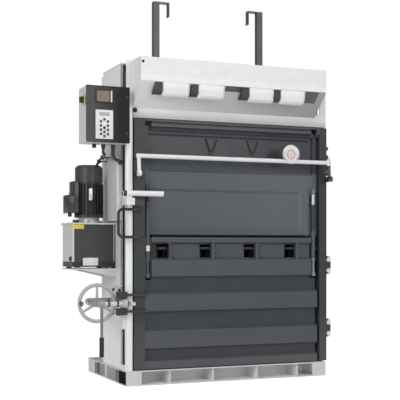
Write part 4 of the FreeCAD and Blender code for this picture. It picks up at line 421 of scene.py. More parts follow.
# %% Handle, lock and strut paints
TUBE_WHITE = (0.80, 0.80, 0.79)
SILVER_WORN = (0.80, 0.80, 0.79)
FITTING_GREY = (0.17, 0.175, 0.18)
white_paint = painted("tube_white", TUBE_WHITE, HANDLE_WORN, roughness=0.28, dust=0.0, clear=0.3)
latch_paint = painted("latch_three_tone", (0.78, 0.78, 0.77), (0.88, 0.88, 0.87), roughness=0.32, dust=0.0,
                      places=[((-0.8, -0.6, 0.8), (-0.5, -0.4, 1.105), BLACK),
                              ((-0.668, -0.6, 0.9), (-0.5, -0.4, 1.105), STILE_TONE),
                              ((-0.8, -0.4325, 1.10), (-0.5, -0.40, 1.20), STILE_TONE)])
bow_paint = painted("bow_white", TUBE_WHITE, HANDLE_WORN, roughness=0.28, dust=0.0, clear=0.3,
                    places=[((0.60, -0.7, 1.2), (0.80, -0.3, 1.398), BLACK)])
wheel_paint = painted("wheel_silver", (0.47, 0.47, 0.46), SILVER_WORN, roughness=0.34, ripple=0.25,
                      places=[((-0.906, -0.6, 0.481), (-0.838, 0.2, 0.549), (0.30, 0.30, 0.30))])
lock_shaft_paint = painted("lock_shaft_silver", (0.62, 0.62, 0.61), (0.85, 0.85, 0.84), roughness=0.28,
                           dust=0.0,
                           places=[((-0.95, -0.6, 0.10), (-0.85, -0.4, 0.491), (0.20, 0.20, 0.205)),
                                   ((-0.892, -0.6, 0.488), (-0.860, -0.4, 0.545), (0.32, 0.32, 0.32))])
draw_bar_paint = painted("draw_bar_silver", (0.48, 0.48, 0.47), SILVER_WORN, roughness=0.32, dust=0.0)
# Painted shade: the left rod is black, as the shade under the handle; the right one's head is a grey fitting.
rod_paint = painted("strut_rod_bright", (0.78, 0.78, 0.78), GREY_WORN, roughness=0.22, dust=0.0,
                    clear=0.5, places=[((-0.7, -0.6, 0.5), (0.0, 0.0, 2.2), BLACK),
                                       ((0.0, -0.6, 1.212), (0.7, 0.0, 1.3), FITTING_GREY)])
strut_paint = painted("strut_charcoal", (0.032, 0.033, 0.035), (0.20, 0.20, 0.20), roughness=0.30, dust=0.0,
                      places=[((0.0, -0.6, 0.60), (0.7, 0.0, 0.785), (0.24, 0.245, 0.25)),
                              ((0.0, -0.6, 0.785), (0.7, 0.0, 0.970), (0.075, 0.08, 0.09)),
                              ((-0.7, -0.6, 0.60), (0.0, 0.0, 1.143), (0.072, 0.079, 0.090))])
fitting_black = painted("fitting_black", BLACK, FITTING_WORN, roughness=0.4, dust=0.0)
fitting_grey = painted("fitting_grey", FITTING_GREY, (0.40, 0.40, 0.40), roughness=0.3, dust=0.0)
print("all painted finishes:", len(bpy.data.materials) - 1)

# %% [markdown]
# ## Bare metal, plastic and rubber
# Plated screws have a fine even grain, chromed rods a mirror polish and the cast fan a sandy skin,
# so one metal function takes the grain and the roughness. Grips, keys and seals are moulded with a
# fine spark-eroded grain. The press chamber shows long scratches from the load that slides over it.


# %% Metals
def metal(name, colour, roughness=0.3, grain=90.0, relief=0.1):
    material, tree, output = new_material(name)
    place = add(tree, "ShaderNodeTexCoord").outputs["Object"]
    fine = noise(tree, place, Scale=grain, Detail=5.0)
    stain = noise(tree, place, Scale=9.0, Detail=4.0)
    dull = tuple(c * 0.72 for c in colour)
    bright = tuple(min(1.0, c * 1.25) for c in colour)
    mask, rounded = edge_mask(tree, 0.0015)
    tone = mix_colour(tree, stain, colour, dull)
    tone = mix_colour(tree, math_node(tree, "MULTIPLY", mask, 0.4), tone, bright)
    close_with_shader(tree, output, {
        "Base Color": tone,
        "Roughness": patchy_roughness(tree, fine, roughness - 0.06, roughness + 0.12),
        "Normal": bumped(tree, fine, relief, 0.0003, rounded),
    }, Metallic=1.0)
    return material


zinc = metal("zinc_plated", (0.66, 0.66, 0.64), 0.32, grain=160.0)
chrome = metal("hard_chrome", (0.84, 0.85, 0.86), 0.11, grain=300.0, relief=0.02)
cast = metal("cast_alloy", (0.74, 0.74, 0.73), 0.40, grain=260.0, relief=0.35)
print("metals:", [m.name for m in (zinc, chrome, cast)])


# %% Worn chamber plate
def chamber_plate():
    """Grey primer that the load has scratched down to the steel, mostly upright streaks."""
    material, tree, output = new_material("chamber_plate")
    place = add(tree, "ShaderNodeTexCoord").outputs["Object"]
    streaked = add(tree, "ShaderNodeMapping", Scale=(38.0, 38.0, 1.6))
    wire(tree, place, streaked.inputs["Vector"])
    scratch = noise(tree, streaked.outputs[0], Scale=4.0, Detail=8.0, Roughness=0.7)
    cloud = noise(tree, place, Scale=3.0, Detail=4.0)
    primer = mix_colour(tree, cloud, (0.23, 0.24, 0.25), (0.33, 0.34, 0.35))
    bare = ranged(tree, scratch, From_Min=0.58, From_Max=0.68)
    close_with_shader(tree, output, {
        "Base Color": mix_colour(tree, bare, primer, (0.50, 0.49, 0.47)),
        "Metallic": math_node(tree, "MULTIPLY", bare, 0.8),
        "Normal": bumped(tree, scratch, 0.15, 0.0006),
    }, Roughness=0.45)
    return material


chamber_steel = chamber_plate()
print("chamber finish:", chamber_steel.name)


# %% Plastics and rubber
def plastic(name, colour, roughness=0.45, relief=0.15, coat=0.0, fleck=0.08):
    material, tree, output = new_material(name)
    place = add(tree, "ShaderNodeTexCoord").outputs["Object"]
    spark = noise(tree, place, Scale=700.0, Detail=2.0)
    smear = noise(tree, place, Scale=22.0, Detail=4.0)
    low = tuple(c * (1 - fleck) for c in colour)
    high = tuple(min(1.0, c * (1 + fleck) + 0.002) for c in colour)
    close_with_shader(tree, output, {
        "Base Color": mix_colour(tree, smear, low, high),
        "Roughness": patchy_roughness(tree, smear, roughness - 0.08, roughness + 0.08),
        "Normal": bumped(tree, spark, relief, 0.0002),
    }, Coat_Weight=coat, Coat_Roughness=0.05)
    return material


black_plastic = plastic("grip_black", (0.018, 0.018, 0.019))
deep_black = plastic("grip_deep_black", (0.004, 0.004, 0.0045), roughness=0.62)
rubber = plastic("seal_rubber", (0.012, 0.012, 0.013), roughness=0.62, relief=0.3)
film = plastic("keypad_film", (0.76, 0.77, 0.76), roughness=0.3, relief=0.05, fleck=0.02)
key_grey = plastic("key_dark", (0.06, 0.06, 0.065), roughness=0.35)
amber = plastic("display_amber", (0.15, 0.075, 0.030), roughness=0.25, coat=0.3, fleck=0.35)
yellow = plastic("switch_yellow", (0.72, 0.60, 0.05), roughness=0.35, fleck=0.04)
pale_yellow = plastic("strip_pale_yellow", (0.74, 0.71, 0.48), roughness=0.35, fleck=0.03)
plate_white = plastic("plate_white", (0.76, 0.76, 0.75), roughness=0.3, fleck=0.03)
key_shade = plastic("key_light_grey", (0.42, 0.43, 0.44), roughness=0.35, fleck=0.05)
disc_white = plastic("disc_white", (0.78, 0.77, 0.77), roughness=0.3, fleck=0.02)
disc_rose = plastic("disc_rose", (0.66, 0.45, 0.45), roughness=0.32, fleck=0.05)
print("materials so far:", len(bpy.data.materials))

# %% [markdown]
# ## Dressing the CAD nodes
# A node keeps its mesh and only gets a new material in its slots. A copy of the mesh could be bevelled
# too, but then it would no longer be the CAD model's own form.

# %% Finish of every CAD node
FINISHES = {
    frame_paint: ("base_rear_beam", "left_post", "head_beams", "head_plate",
                  "guide_sleeves", "cylinder_brackets", "tank_shelf", "duct_cover", "strap_scoops"),
    base_paint: ("base_front_beam",),
    rail_paint: ("base_side_rails",),
    header_paint: ("header_strip",),
    column_paint: ("side_columns",),
    hood_paint: ("hood_shell",),
    wall_paint: ("left_side_wall", "right_side_wall", "back_wall"),
    cabinet_paint: ("cabinet_body",),
    tank_paint: ("oil_tank",),
    chamber_steel: ("chamber_floor", "platen", "retaining_claws"),
    door_paint: ("door_rails", "door_lower_panel", "strap_ribs"),
    shade_black_paint: ("door_back_plate",),
    flap_paint: ("flap_panel",),
    stile_paint: ("door_stiles",),
    hinge_paint: ("hinge_brackets",),
    fitting_black: ("door_hinge_leaves", "door_lock_lugs", "bow_pivots", "terminal_box"),
    strut_paint: ("strut_barrels",),
    zinc: ("pivot_pins", "motor_flange", "lock_bracket"),
    draw_bar_paint: ("draw_bar",),
    lock_shaft_paint: ("lock_shaft",),
    rod_paint: ("strut_rods",),
    chrome: ("left_cylinder_rod", "right_cylinder_rod"),
    white_paint: ("latch_handle",),
    bow_paint: ("bow_bar",),
    latch_paint: ("latch_housing",),
    post_paint: ("guide_posts", "left_cylinder_barrel", "right_cylinder_barrel"),
    motor_paint: ("motor_body",),
    fan_paint: ("fan_cover",),
    cover_paint: ("cabinet_door",),
    wheel_paint: ("hand_wheel",),
    cast: ("motor_fan",),
    black_plastic: ("switch_knob", "wheel_knob", "lever_grip", "conduit"),
    film: ("keypad",),
    amber: ("display_window",),
    disc_white: ("sign_disc",),
}
dressed = set()
for finish, names in FINISHES.items():
    for name in names:
        data = nodes[name].data
        if not data.materials:
            data.materials.append(finish)
        for index in range(len(data.materials)):
            data.materials[index] = finish
        dressed.add(name)
print("dressed:", len(dressed), "not dressed:", sorted(set(nodes) - dressed))

# %% [markdown]
# ## Finishing a piece
# New pieces end up as plain meshes whose place is in their vertices. They ride on a CAD body and
# may take the place of a CAD node that was only a rough form. Most small pieces are either softened
# boxes or turned about an axis, so there is one helper for each.


# %% Plain meshes that ride on a body
def held(name, data):
    """A passing object that holds a mesh or a curve while it is evaluated."""
    holder = bpy.data.objects.new(name, data)
    scene.collection.objects.link(holder)
    return holder


def plain_mesh(holder):
    """The evaluated mesh of a passing object, which is removed."""
    bpy.context.view_layer.update()
    result = bpy.data.meshes.new_from_object(holder.evaluated_get(bpy.context.evaluated_depsgraph_get()))
    bpy.data.objects.remove(holder)
    return result


def piece_from_mesh(name, mesh, material, body, replaces=(), smooth_angle=35):
    mesh.name = name
    if material:
        mesh.materials.clear()
        mesh.materials.append(material)
    mesh.polygons.foreach_set("use_smooth", [True] * len(mesh.polygons))
    mesh.set_sharp_from_angle(angle=math.radians(smooth_angle))
    piece = bpy.data.objects.new(name, mesh)
    scene.collection.objects.link(piece)
    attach(piece, body)
    if replaces:
        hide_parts(*replaces)
    print(name, "faces:", len(mesh.polygons))
    return piece


def mesh_from_bmesh(name, form):
    mesh = bpy.data.meshes.new(name)
    form.to_mesh(mesh)
    form.free()
    return mesh


def piece_from_bmesh(name, form, material, body, replaces=()):
    bmesh.ops.remove_doubles(form, verts=form.verts, dist=1e-6)
    bmesh.ops.recalc_face_normals(form, faces=form.faces)
    return piece_from_mesh(name, mesh_from_bmesh(name, form), material, body, replaces)


# %% Softened boxes and bars
def bevel_edges(form, edges, offset, segments):
    bmesh.ops.bevel(form, geom=edges, offset=offset, segments=segments, affect="EDGES", profile=0.5)


def bevelled_box(form, low, high, bevel=0.001, segments=2):
    """Adds a box with softened edges to a bmesh."""
    centre = (Vector(low) + Vector(high)) / 2
    size = Vector(high) - Vector(low)
    made = bmesh.ops.create_cube(form, size=1.0)["verts"]
    for vert in made:
        vert.co = centre + Vector((vert.co.x * size.x, vert.co.y * size.y, vert.co.z * size.z))
    bevel_edges(form, list({edge for vert in made for edge in vert.link_edges}), bevel, segments)


def box_piece(name, boxes, material, body, bevel=0.001, replaces=()):
    form = bmesh.new()
    for low, high in boxes:
        bevelled_box(form, low, high, bevel)
    return piece_from_bmesh(name, form, material, body, replaces)


def prism(form, near, far):
    """Adds the bar between two like outlines to a bmesh."""
    ends = [[form.verts.new(corner) for corner in outline] for outline in (near, far)]
    for end in ends:
        form.faces.new(end)
    for i in range(len(near)):
        j = (i + 1) % len(near)
        form.faces.new((ends[0][i], ends[0][j], ends[1][j], ends[1][i]))


# %% Turned forms
def turned(form, profile, centre, axis, sides=48):
    """Turns (radius, distance along axis) points about an axis, closing the ends at radius 0."""
    axis = Vector(axis).normalized()
    side = axis.orthogonal().normalized()
    other = axis.cross(side)
    rings = []
    for radius, along in profile:
        middle = Vector(centre) + axis * along
        if radius < 1e-6:
            rings.append([form.verts.new(middle)])
            continue
        rings.append([form.verts.new(middle + radius * (math.cos(2 * math.pi * i / sides) * side
                                                        + math.sin(2 * math.pi * i / sides) * other))
                      for i in range(sides)])
    for low, high in zip(rings, rings[1:]):
        for i in range(sides):
            j = (i + 1) % sides
            if len(low) == 1:
                form.faces.new((low[0], high[j], high[i]))
            elif len(high) == 1:
                form.faces.new((low[i], low[j], high[0]))
            else:
                form.faces.new((low[i], low[j], high[j], high[i]))


def turned_piece(name, profile, centres, axis, sides, material, body, replaces=()):
    """One piece of like turned forms, one at each centre."""
    form = bmesh.new()
    for centre in centres:
        turned(form, profile, centre, axis, sides)
    return piece_from_bmesh(name, form, material, body, replaces)


def arc_points(centre, radius, start, end, steps):
    """(radius, along) points on an arc, angles in degrees."""
    angles = [math.radians(start + (end - start) * i / steps) for i in range(steps + 1)]
    return [(centre[0] + radius * math.cos(a), centre[1] + radius * math.sin(a)) for a in angles]


def bar(form, start, end, radius, end_radius=None, sides=24):
    """Adds a round bar with softened ends between two points to a bmesh."""
    start, end = Vector(start), Vector(end)
    length = (end - start).length
    last = radius if end_radius is None else end_radius
    soft = min(radius, last, length) * 0.12
    turned(form, [(0, 0), (radius - soft, 0), (radius, soft), (last, length - soft), (last - soft, length),
                  (0, length)], start, end - start, sides)


print("shape helpers are ready")

# %% [markdown]
# ## Bolt heads
# Screws and nuts repeat all over the machine, so one Geometry Nodes tree makes them: it sets a
# chamfered head on a washer at every point of a small mesh. Its inputs are the head's radius, height
# and number of sides, the washer's size, the direction that the heads face, and their finish.


# %% Start and end of a tree
def new_tree(name, inputs):
    """An empty tree with named inputs, given as (label, kind, value)."""
    tree = bpy.data.node_groups.new(name, "GeometryNodeTree")
    tree.interface.new_socket("Geometry", in_out="OUTPUT", socket_type="NodeSocketGeometry")
    for label, kind, value in inputs:
        socket = tree.interface.new_socket(label, in_out="INPUT", socket_type="NodeSocket" + kind)
        if value is not None:
            socket.default_value = value
    return tree, tree.nodes.new("NodeGroupInput").outputs


def end_tree(tree, inputs, instances):
    """Makes the instances real and gives them the finish, because the export drops instances."""
    real = add(tree, "GeometryNodeRealizeInstances")
    wire(tree, instances, real.inputs[0])
    finish = add(tree, "GeometryNodeSetMaterial")
    wire(tree, real.outputs[0], finish.inputs["Geometry"])
    wire(tree, inputs["Finish"], finish.inputs["Material"])
    wire(tree, finish.outputs[0], tree.nodes.new("NodeGroupOutput").inputs[0])
    return tree


def run_tree(name, tree, points, edges, settings):
    """Evaluates a tree on a mesh of points and edges and returns the result as a plain mesh."""
    seed_mesh = bpy.data.meshes.new(name + "_places")
    seed_mesh.from_pydata([tuple(p) for p in points], edges, [])
    holder = held(name, seed_mesh)
    modifier = holder.modifiers.new(name, "NODES")
    modifier.node_group = tree
    for item in tree.interface.items_tree:
        if item.in_out == "INPUT" and item.name in settings:
            modifier[item.identifier] = settings[item.name]
    return plain_mesh(holder)


# %% Bolt tree
def bolt_tree():
    tree, inputs = new_tree("bolt_heads", [("Points", "Geometry", None), ("Head radius", "Float", 0.01),
                                           ("Head height", "Float", 0.008), ("Sides", "Int", 6),
                                           ("Washer size", "Float", 1.35), ("Facing", "Vector", None),
                                           ("Finish", "Material", None)])

    def share(label, factor):
        return math_node(tree, "MULTIPLY", inputs[label], factor)

    head = add(tree, "GeometryNodeMeshCylinder")
    wire(tree, inputs["Sides"], head.inputs["Vertices"])
    wire(tree, inputs["Head radius"], head.inputs["Radius"])
    wire(tree, inputs["Head height"], head.inputs["Depth"])
    cap = add(tree, "GeometryNodeMeshCone", Vertices=24)
    wire(tree, share("Head radius", 0.88), cap.inputs["Radius Bottom"])
    wire(tree, share("Head radius", 0.72), cap.inputs["Radius Top"])
    wire(tree, share("Head height", 0.18), cap.inputs["Depth"])
    washer = add(tree, "GeometryNodeMeshCylinder", Vertices=24)
    wire(tree, share("Head radius", inputs["Washer size"]), washer.inputs["Radius"])
    wire(tree, share("Head height", 0.3), washer.inputs["Depth"])
    joined = add(tree, "GeometryNodeJoinGeometry")
    for source, rise in ((head, 0.5), (cap, 1.0), (washer, 0.0)):
        lift = add(tree, "ShaderNodeCombineXYZ")
        wire(tree, share("Head height", rise), lift.inputs["Z"])
        shifted = add(tree, "GeometryNodeTransform")
        wire(tree, source.outputs["Mesh"], shifted.inputs["Geometry"])
        wire(tree, lift.outputs[0], shifted.inputs["Translation"])
        wire(tree, shifted.outputs[0], joined.inputs[0])
    turn = add(tree, "FunctionNodeEulerToRotation")
    wire(tree, inputs["Facing"], turn.inputs[0])
    spread = add(tree, "GeometryNodeInstanceOnPoints")
    wire(tree, inputs["Points"], spread.inputs["Points"])
    wire(tree, joined.outputs[0], spread.inputs["Instance"])
    wire(tree, turn.outputs[0], spread.inputs["Rotation"])
    return end_tree(tree, inputs, spread.outputs[0])


BOLTS = bolt_tree()
FACING = {"-x": (0, -math.pi / 2, 0), "+x": (0, math.pi / 2, 0), "-y": (math.pi / 2, 0, 0), "+z": (0, 0, 0)}


def bolts(name, points, facing, body, radius=0.009, height=0.007, finish=zinc, sides=6,
          washer=1.35):
    """One piece of like bolt heads, one at each point."""
    mesh = run_tree(name, BOLTS, points, [], {"Head radius": radius, "Head height": height,
                                              "Facing": FACING[facing], "Finish": finish,
                                              "Sides": sides, "Washer size": washer})
    return piece_from_mesh(name, mesh, None, body)


print("bolt tree nodes:", len(BOLTS.nodes))

# %% [markdown]
# ## Where bolts sit
# Most places are taken from the CAD boxes, so those bolts move with a resized piece. Where a box holds
# several like parts, as with the hinges, it doesn't say where each one is, and the heights are given.

# %% Bolts on hinges, lock, motor and tank
hinge_heights = (0.320, 0.740, 1.400)
half_pitch = 0.045
low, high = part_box("hinge_brackets")
bolts("hinge_foot_bolts", [(high.x - 0.0285, high.y - 0.016, z + dz) for z in hinge_heights
                           for dz in (-half_pitch, half_pitch)], "+x", "frame", radius=0.008)
low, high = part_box("lock_bracket")
lock_plate_face = -0.712
inset = 0.02
bolts("lock_bracket_bolts", [(lock_plate_face, y, z) for y in (-0.316, -0.194)
                             for z in (low.z + inset, high.z - inset)],
      "-x", "frame", finish=fitting_black)
low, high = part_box("motor_flange")
centre = (low + high) / 2
bolt_circle = (high.x - low.x) / 2 - 0.009
bolts("motor_flange_bolts", [(x, y, low.z + 0.014) for x, y in
                             [(centre.x + bolt_circle * math.cos(math.radians(a)),
                               centre.y + bolt_circle * math.sin(math.radians(a)))
                              for a in (45, 135, 225, 315)]], "+z", "frame", radius=0.007, height=0.006)
tank_low, tank_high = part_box("oil_tank")
inset = 0.012
lid_top = tank_high.z - 0.022
bolts("tank_lid_screws", [(x, y, lid_top) for x in (tank_low.x + inset, tank_high.x - inset)
                          for y in (tank_low.y + inset, (tank_low.y + tank_high.y) / 2, tank_high.y - inset)],
      "+z", "frame", radius=0.005, height=0.004)

# %% [markdown]
# ## Hand wheel, crank knob and lever grip
# A cast wheel has a round rim and spokes that taper towards it. The CAD rim has a six-sided section,
# which is enough for mass and collisions; here a circle of points is turned about the spindle. The
# knob and the grip are turned too. Their profiles are listed here, since the picture is too small.

# %% Hand wheel
wheel_low, wheel_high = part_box("hand_wheel")
knob_low, knob_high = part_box("wheel_knob")
rim_plane = wheel_low.y + 0.046
hub = Vector(((wheel_low.x + wheel_high.x) / 2, rim_plane, (wheel_low.z + wheel_high.z) / 2))
wheel_r = (wheel_high.x - wheel_low.x) / 2
hub_back = wheel_high.y - hub.y - 0.0001
rim_r = 0.0118
spoke_root_r, spoke_tip_r = 0.0098, 0.0072
stud_r = 0.0049
spoke_reach = wheel_r - 2 * rim_r + 0.004
form = bmesh.new()
turned(form, arc_points((wheel_r - rim_r - 0.0001, 0), rim_r, 0, 360, 20), hub, (0, 1, 0), sides=96)
turned(form, [(0, -0.0119), (0.019, -0.0119), (0.0245, -0.007), (0.0245, 0.034), (0.021, 0.0399),
              (0.0119, 0.0399), (0.0119, wheel_high.y - hub.y - 0.002), (0.0105, hub_back), (0, hub_back)],
       hub, (0, 1, 0), sides=48)
for angle in (math.radians(a) for a in (90, 210, 330)):
    tip = hub + Vector((math.cos(angle) * spoke_reach, 0, math.sin(angle) * spoke_reach))
    bar(form, hub, tip, spoke_root_r, spoke_tip_r, sides=28)
stud = Vector(((knob_low.x + knob_high.x) / 2, wheel_low.y + 0.0001, hub.z))
bar(form, stud, (stud.x, hub.y, stud.z), stud_r, sides=20)
piece_from_bmesh("cast_hand_wheel", form, wheel_paint, "wheel", ("hand_wheel",))

# %% Crank knob, lever grip and shaft collars
reach = knob_high.y - knob_low.y
knob = [(0.0053, 0.0002), (0.0085, 0.0002), (0.0095, 0.0012), (0.0095, 0.004), (0.0105, 0.007),
        (0.0127, 0.012), (0.0138, 0.018), (0.0136, 0.023), (0.0120, 0.0275), (0.0095, reach - 0.0008),
        (0.0075, reach - 0.0002), (0.0053, reach - 0.0002), (0.0053, 0.0002)]
turned_piece("turned_crank_knob", knob, [(stud.x, knob_high.y, stud.z)], (0, -1, 0), 40, black_plastic,
             "crank_knob", ("wheel_knob",))
grip_low, grip_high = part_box("lever_grip")
grip_x = (grip_low.x + grip_high.x) / 2
grip_y = (grip_low.y + grip_high.y) / 2
grip_r = (grip_high.x - grip_low.x) / 2 - 0.0002
grip_len = 0.120
grip_ribs = 7
rib_depth = 0.0016
profile = [(0, 0)] + arc_points((grip_r - 0.008, 0.008), 0.008, -90, 0, 6)
for index in range(grip_ribs):
    at = 0.018 + index * (grip_len - 0.034) / grip_ribs
    profile += [(grip_r, at), (grip_r - rib_depth, at + 0.003), (grip_r - rib_depth, at + 0.006),
                (grip_r, at + 0.009)]
profile += [(grip_r, grip_len - 0.010), (grip_r + 0.0001, grip_len - 0.006),
            (grip_r - 0.003, grip_len - 0.001), (0.0095, grip_len), (0, grip_len)]
turned_piece("ribbed_lever_grip", profile, [(grip_x, grip_y, grip_low.z)], (0, 0, 1), 40, deep_black,
             "lock_lever", ("lever_grip",))
shaft_r = 0.0152
collars = ((-0.838, 0.010, 0.0215), (-0.781, 0.008, 0.0225), (-0.712, 0.004, 0.0220))
form = bmesh.new()
for x, width, radius in collars:
    turned(form, [(shaft_r, 0), (radius - 0.001, 0), (radius, 0.001), (radius, width - 0.001),
                  (radius - 0.001, width), (shaft_r, width), (shaft_r, 0)],
           (x, grip_y, hub.z), (1, 0, 0), sides=40)
piece_from_bmesh("lock_shaft_collars", form, fitting_black, "lock_lever")

# %% [markdown]
# ## Strap scoops
# The four scoops under the fascia are pressed from sheet with rounded lower corners. Their insides
# are painted dark as shade, and a dark block at the left of each stands for the shade in its open
# end. The outer skin is an open sheet whose corner edges are bevelled, and a Solidify modifier gives
# it its thickness.


# %% Scoop sheet
def lying_along_x(form, least, faces=0):
    """Edges that run more than a length along X and have at least so many faces."""
    return [edge for edge in form.edges if len(edge.link_faces) >= faces
            and abs(edge.verts[0].co.x - edge.verts[1].co.x) > least]


def scoop_mesh(name, x0, x1, front, hood_z):
    form = bmesh.new()
    outline = [(front, hood_z - 0.002), (front, hood_z - 0.034), (front + 0.010, hood_z - 0.072),
               (front + 0.030, hood_z - 0.088), (front + 0.060, hood_z - 0.088),
               (front + 0.074, hood_z - 0.070)]
    left = [form.verts.new((x0, y, z)) for y, z in outline]
    right = [form.verts.new((x1, y, z)) for y, z in outline]
    form.faces.new(right)
    form.faces.new(left)
    for i in range(len(outline) - 1):
        form.faces.new((left[i], left[i + 1], right[i + 1], right[i]))
    bmesh.ops.recalc_face_normals(form, faces=form.faces)
    corners = [edge for edge in form.edges if len(edge.link_faces) == 2
               and abs(edge.verts[0].co.x - edge.verts[1].co.x) < 1e-6]
    bevel_edges(form, corners, 0.024, 6)
    bevel_edges(form, lying_along_x(form, 0.05, faces=2), 0.006, 3)
    return mesh_from_bmesh(name, form)


def solidified(mesh, thickness, inner_slot=0):
    """Gives an open sheet mesh a thickness towards its inside and returns a plain mesh."""
    holder = held("sheet", mesh)
    modifier = holder.modifiers.new("thickness", "SOLIDIFY")
    modifier.thickness = thickness
    modifier.offset = -1
    modifier.use_even_offset = False
    modifier.material_offset = inner_slot
    return plain_mesh(holder)


def face_outward(mesh, centre):
    """Turns the faces of an open sheet so that they look away from a point."""
    form = bmesh.new()
    form.from_mesh(mesh)
    total = sum((face.calc_center_median() - centre).dot(face.normal) * face.calc_area()
                for face in form.faces)
    if total < 0:
        bmesh.ops.reverse_faces(form, faces=form.faces)
    form.to_mesh(mesh)
    form.free()


# %% Four scoops and their painted shade
hood_low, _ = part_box("hood_shell")
scoop_low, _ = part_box("strap_scoops")
# Painted shade: this dark paint colours the insides of the scoops and the blocks at their left.
scoop_shade = painted("scoop_inside_shade", (0.03, 0.03, 0.032), (0.10, 0.10, 0.10), roughness=0.5, dust=0.0)
scoop_paint = painted("scoop_white", (0.86, 0.86, 0.86), (0.90, 0.90, 0.90), roughness=0.36, dust=0.0)
scoop_xs = (-0.428, -0.194, 0.153, 0.374)
hood_edge = 1.865
half_scoop = 0.095
sheet_t = 0.0035
shade_reach = 0.044
shade_front = scoop_low.y + 0.002
shade_outline = [(shade_front, hood_edge - 0.002), (shade_front, hood_edge - 0.058),
                  (shade_front + 0.026, hood_edge - 0.078), (shade_front + 0.070, hood_edge - 0.072)]
for index, x in enumerate(scoop_xs):
    sheet = scoop_mesh("scoop_sheet", x - half_scoop + 0.0002, x + half_scoop - 0.0002, scoop_low.y + 0.0001,
                       hood_edge)
    face_outward(sheet, Vector((x, scoop_low.y + 0.05, hood_edge - 0.01)))
    sheet.materials.append(scoop_paint)
    sheet.materials.append(scoop_shade)
    piece_from_mesh("strap_scoop_" + str(index + 1), solidified(sheet, sheet_t, inner_slot=1), None,
                    "frame", ("strap_scoops",) if index == 0 else ())
    form = bmesh.new()
    near, far = [[(at, y, z) for y, z in shade_outline]
                 for at in (x - half_scoop - shade_reach, x - half_scoop + 0.004)]
    prism(form, near, far)
    bmesh.ops.recalc_face_normals(form, faces=form.faces)
    bevel_edges(form, lying_along_x(form, 0.02), 0.004, 2)
    piece_from_bmesh("scoop_shade_block_" + str(index + 1), form, scoop_shade, "frame")

# %% [markdown]
# ## Control panel
# The cover carries an amber display in a black bezel, a narrow pale strip beside it, and a white
# membrane keypad with two rosettes of round keys. The keys are points that the bolt tree turns into
# low round buttons. The main switch stands in a yellow ring.

# %% Display and keypad
low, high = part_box("display_window")
rim = 0.006
bezel_front, bezel_back = low.y - 0.002, low.y + 0.001
box_piece("display_bezel", [((low.x - rim, bezel_front, low.z - rim), (high.x + rim, bezel_back, low.z)),
                            ((low.x - rim, bezel_front, high.z), (high.x + rim, bezel_back, high.z + rim)),
                            ((low.x - rim, bezel_front, low.z), (low.x, bezel_back, high.z)),
                            ((high.x, bezel_front, low.z), (high.x + rim, bezel_back, high.z))],
          rubber, "cabinet_cover", bevel=0.0008)
box_piece("display_side_strip", [((high.x + rim + 0.001, low.y - 0.0012, low.z - 0.002),
                                  (high.x + rim + 0.011, bezel_back, high.z + 0.002))],
          pale_yellow, "cabinet_cover", bevel=0.0005)
low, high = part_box("keypad")
box_piece("keypad_plate", [((low.x + 0.0002, low.y + 0.0002, low.z + 0.0002),
                            (high.x - 0.0002, high.y - 0.0001, high.z - 0.0002))],
          film, "cabinet_cover", bevel=0.0012, replaces=("keypad",))
key_y = low.y + 0.0004
key_circle = 0.025
middle = (low.x + high.x) / 2
box_piece("keypad_head", [((low.x + 0.022, key_y - 0.0007, high.z - 0.036),
                           (high.x - 0.022, key_y + 0.0006, high.z - 0.014))],
          key_shade, "cabinet_cover", bevel=0.0005)
upper_rosette, lower_rosette = (low.z + share * (high.z - low.z) for share in (0.53, 0.24))
rosettes = [(middle + key_circle * math.cos(math.radians(a)), key_y,
             z + key_circle * math.sin(math.radians(a)))
            for z in (upper_rosette, lower_rosette) for a in range(30, 390, 60)]
rosettes.append((middle, key_y, lower_rosette))
bolts("keypad_buttons", rosettes, "-y", "cabinet_cover", radius=0.0088, height=0.0011, finish=key_grey,
      sides=20, washer=1.05)

# %% Cover locks and main switch
low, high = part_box("cabinet_door")
bolts("cabinet_cover_locks", [(high.x - 0.016, low.y + 0.0002, z) for z in (low.z + 0.06, high.z - 0.06)],
      "-y", "cabinet_cover", radius=0.007, height=0.003, finish=fitting_black,
      sides=20, washer=1.3)
cabinet_low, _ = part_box("cabinet_body")
switch_low, switch_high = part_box("switch_knob")
switch = (switch_low + switch_high) / 2
ring_x = cabinet_low.x if cabinet_low.x > switch_low.x else switch_high.x
ring_r = (switch_high.z - switch_low.z) / 2 + 0.0015
turned_piece("switch_ring", [(ring_r, 0.0001), (ring_r + 0.0125, 0.0001), (ring_r + 0.013, 0.0008),
                             (ring_r + 0.0115, 0.0022), (ring_r + 0.0015, 0.0022), (ring_r, 0.0010),
                             (ring_r, 0.0001)],
             [(ring_x, switch.y, switch.z)], (-1, 0, 0), 48, yellow, "frame")

# %% [markdown]
# ## Plugs, disc and tank fittings
# Holes in sheet are closed with domed rubber plugs, and the handle's tube has a cap. The round disc
# on the bow is plain, with a raised rim and rings of a pale tone. The tank has a knurled filler cap,
# a drain plug and bare plates. All are turned or boxes, since nothing on them is more than that.

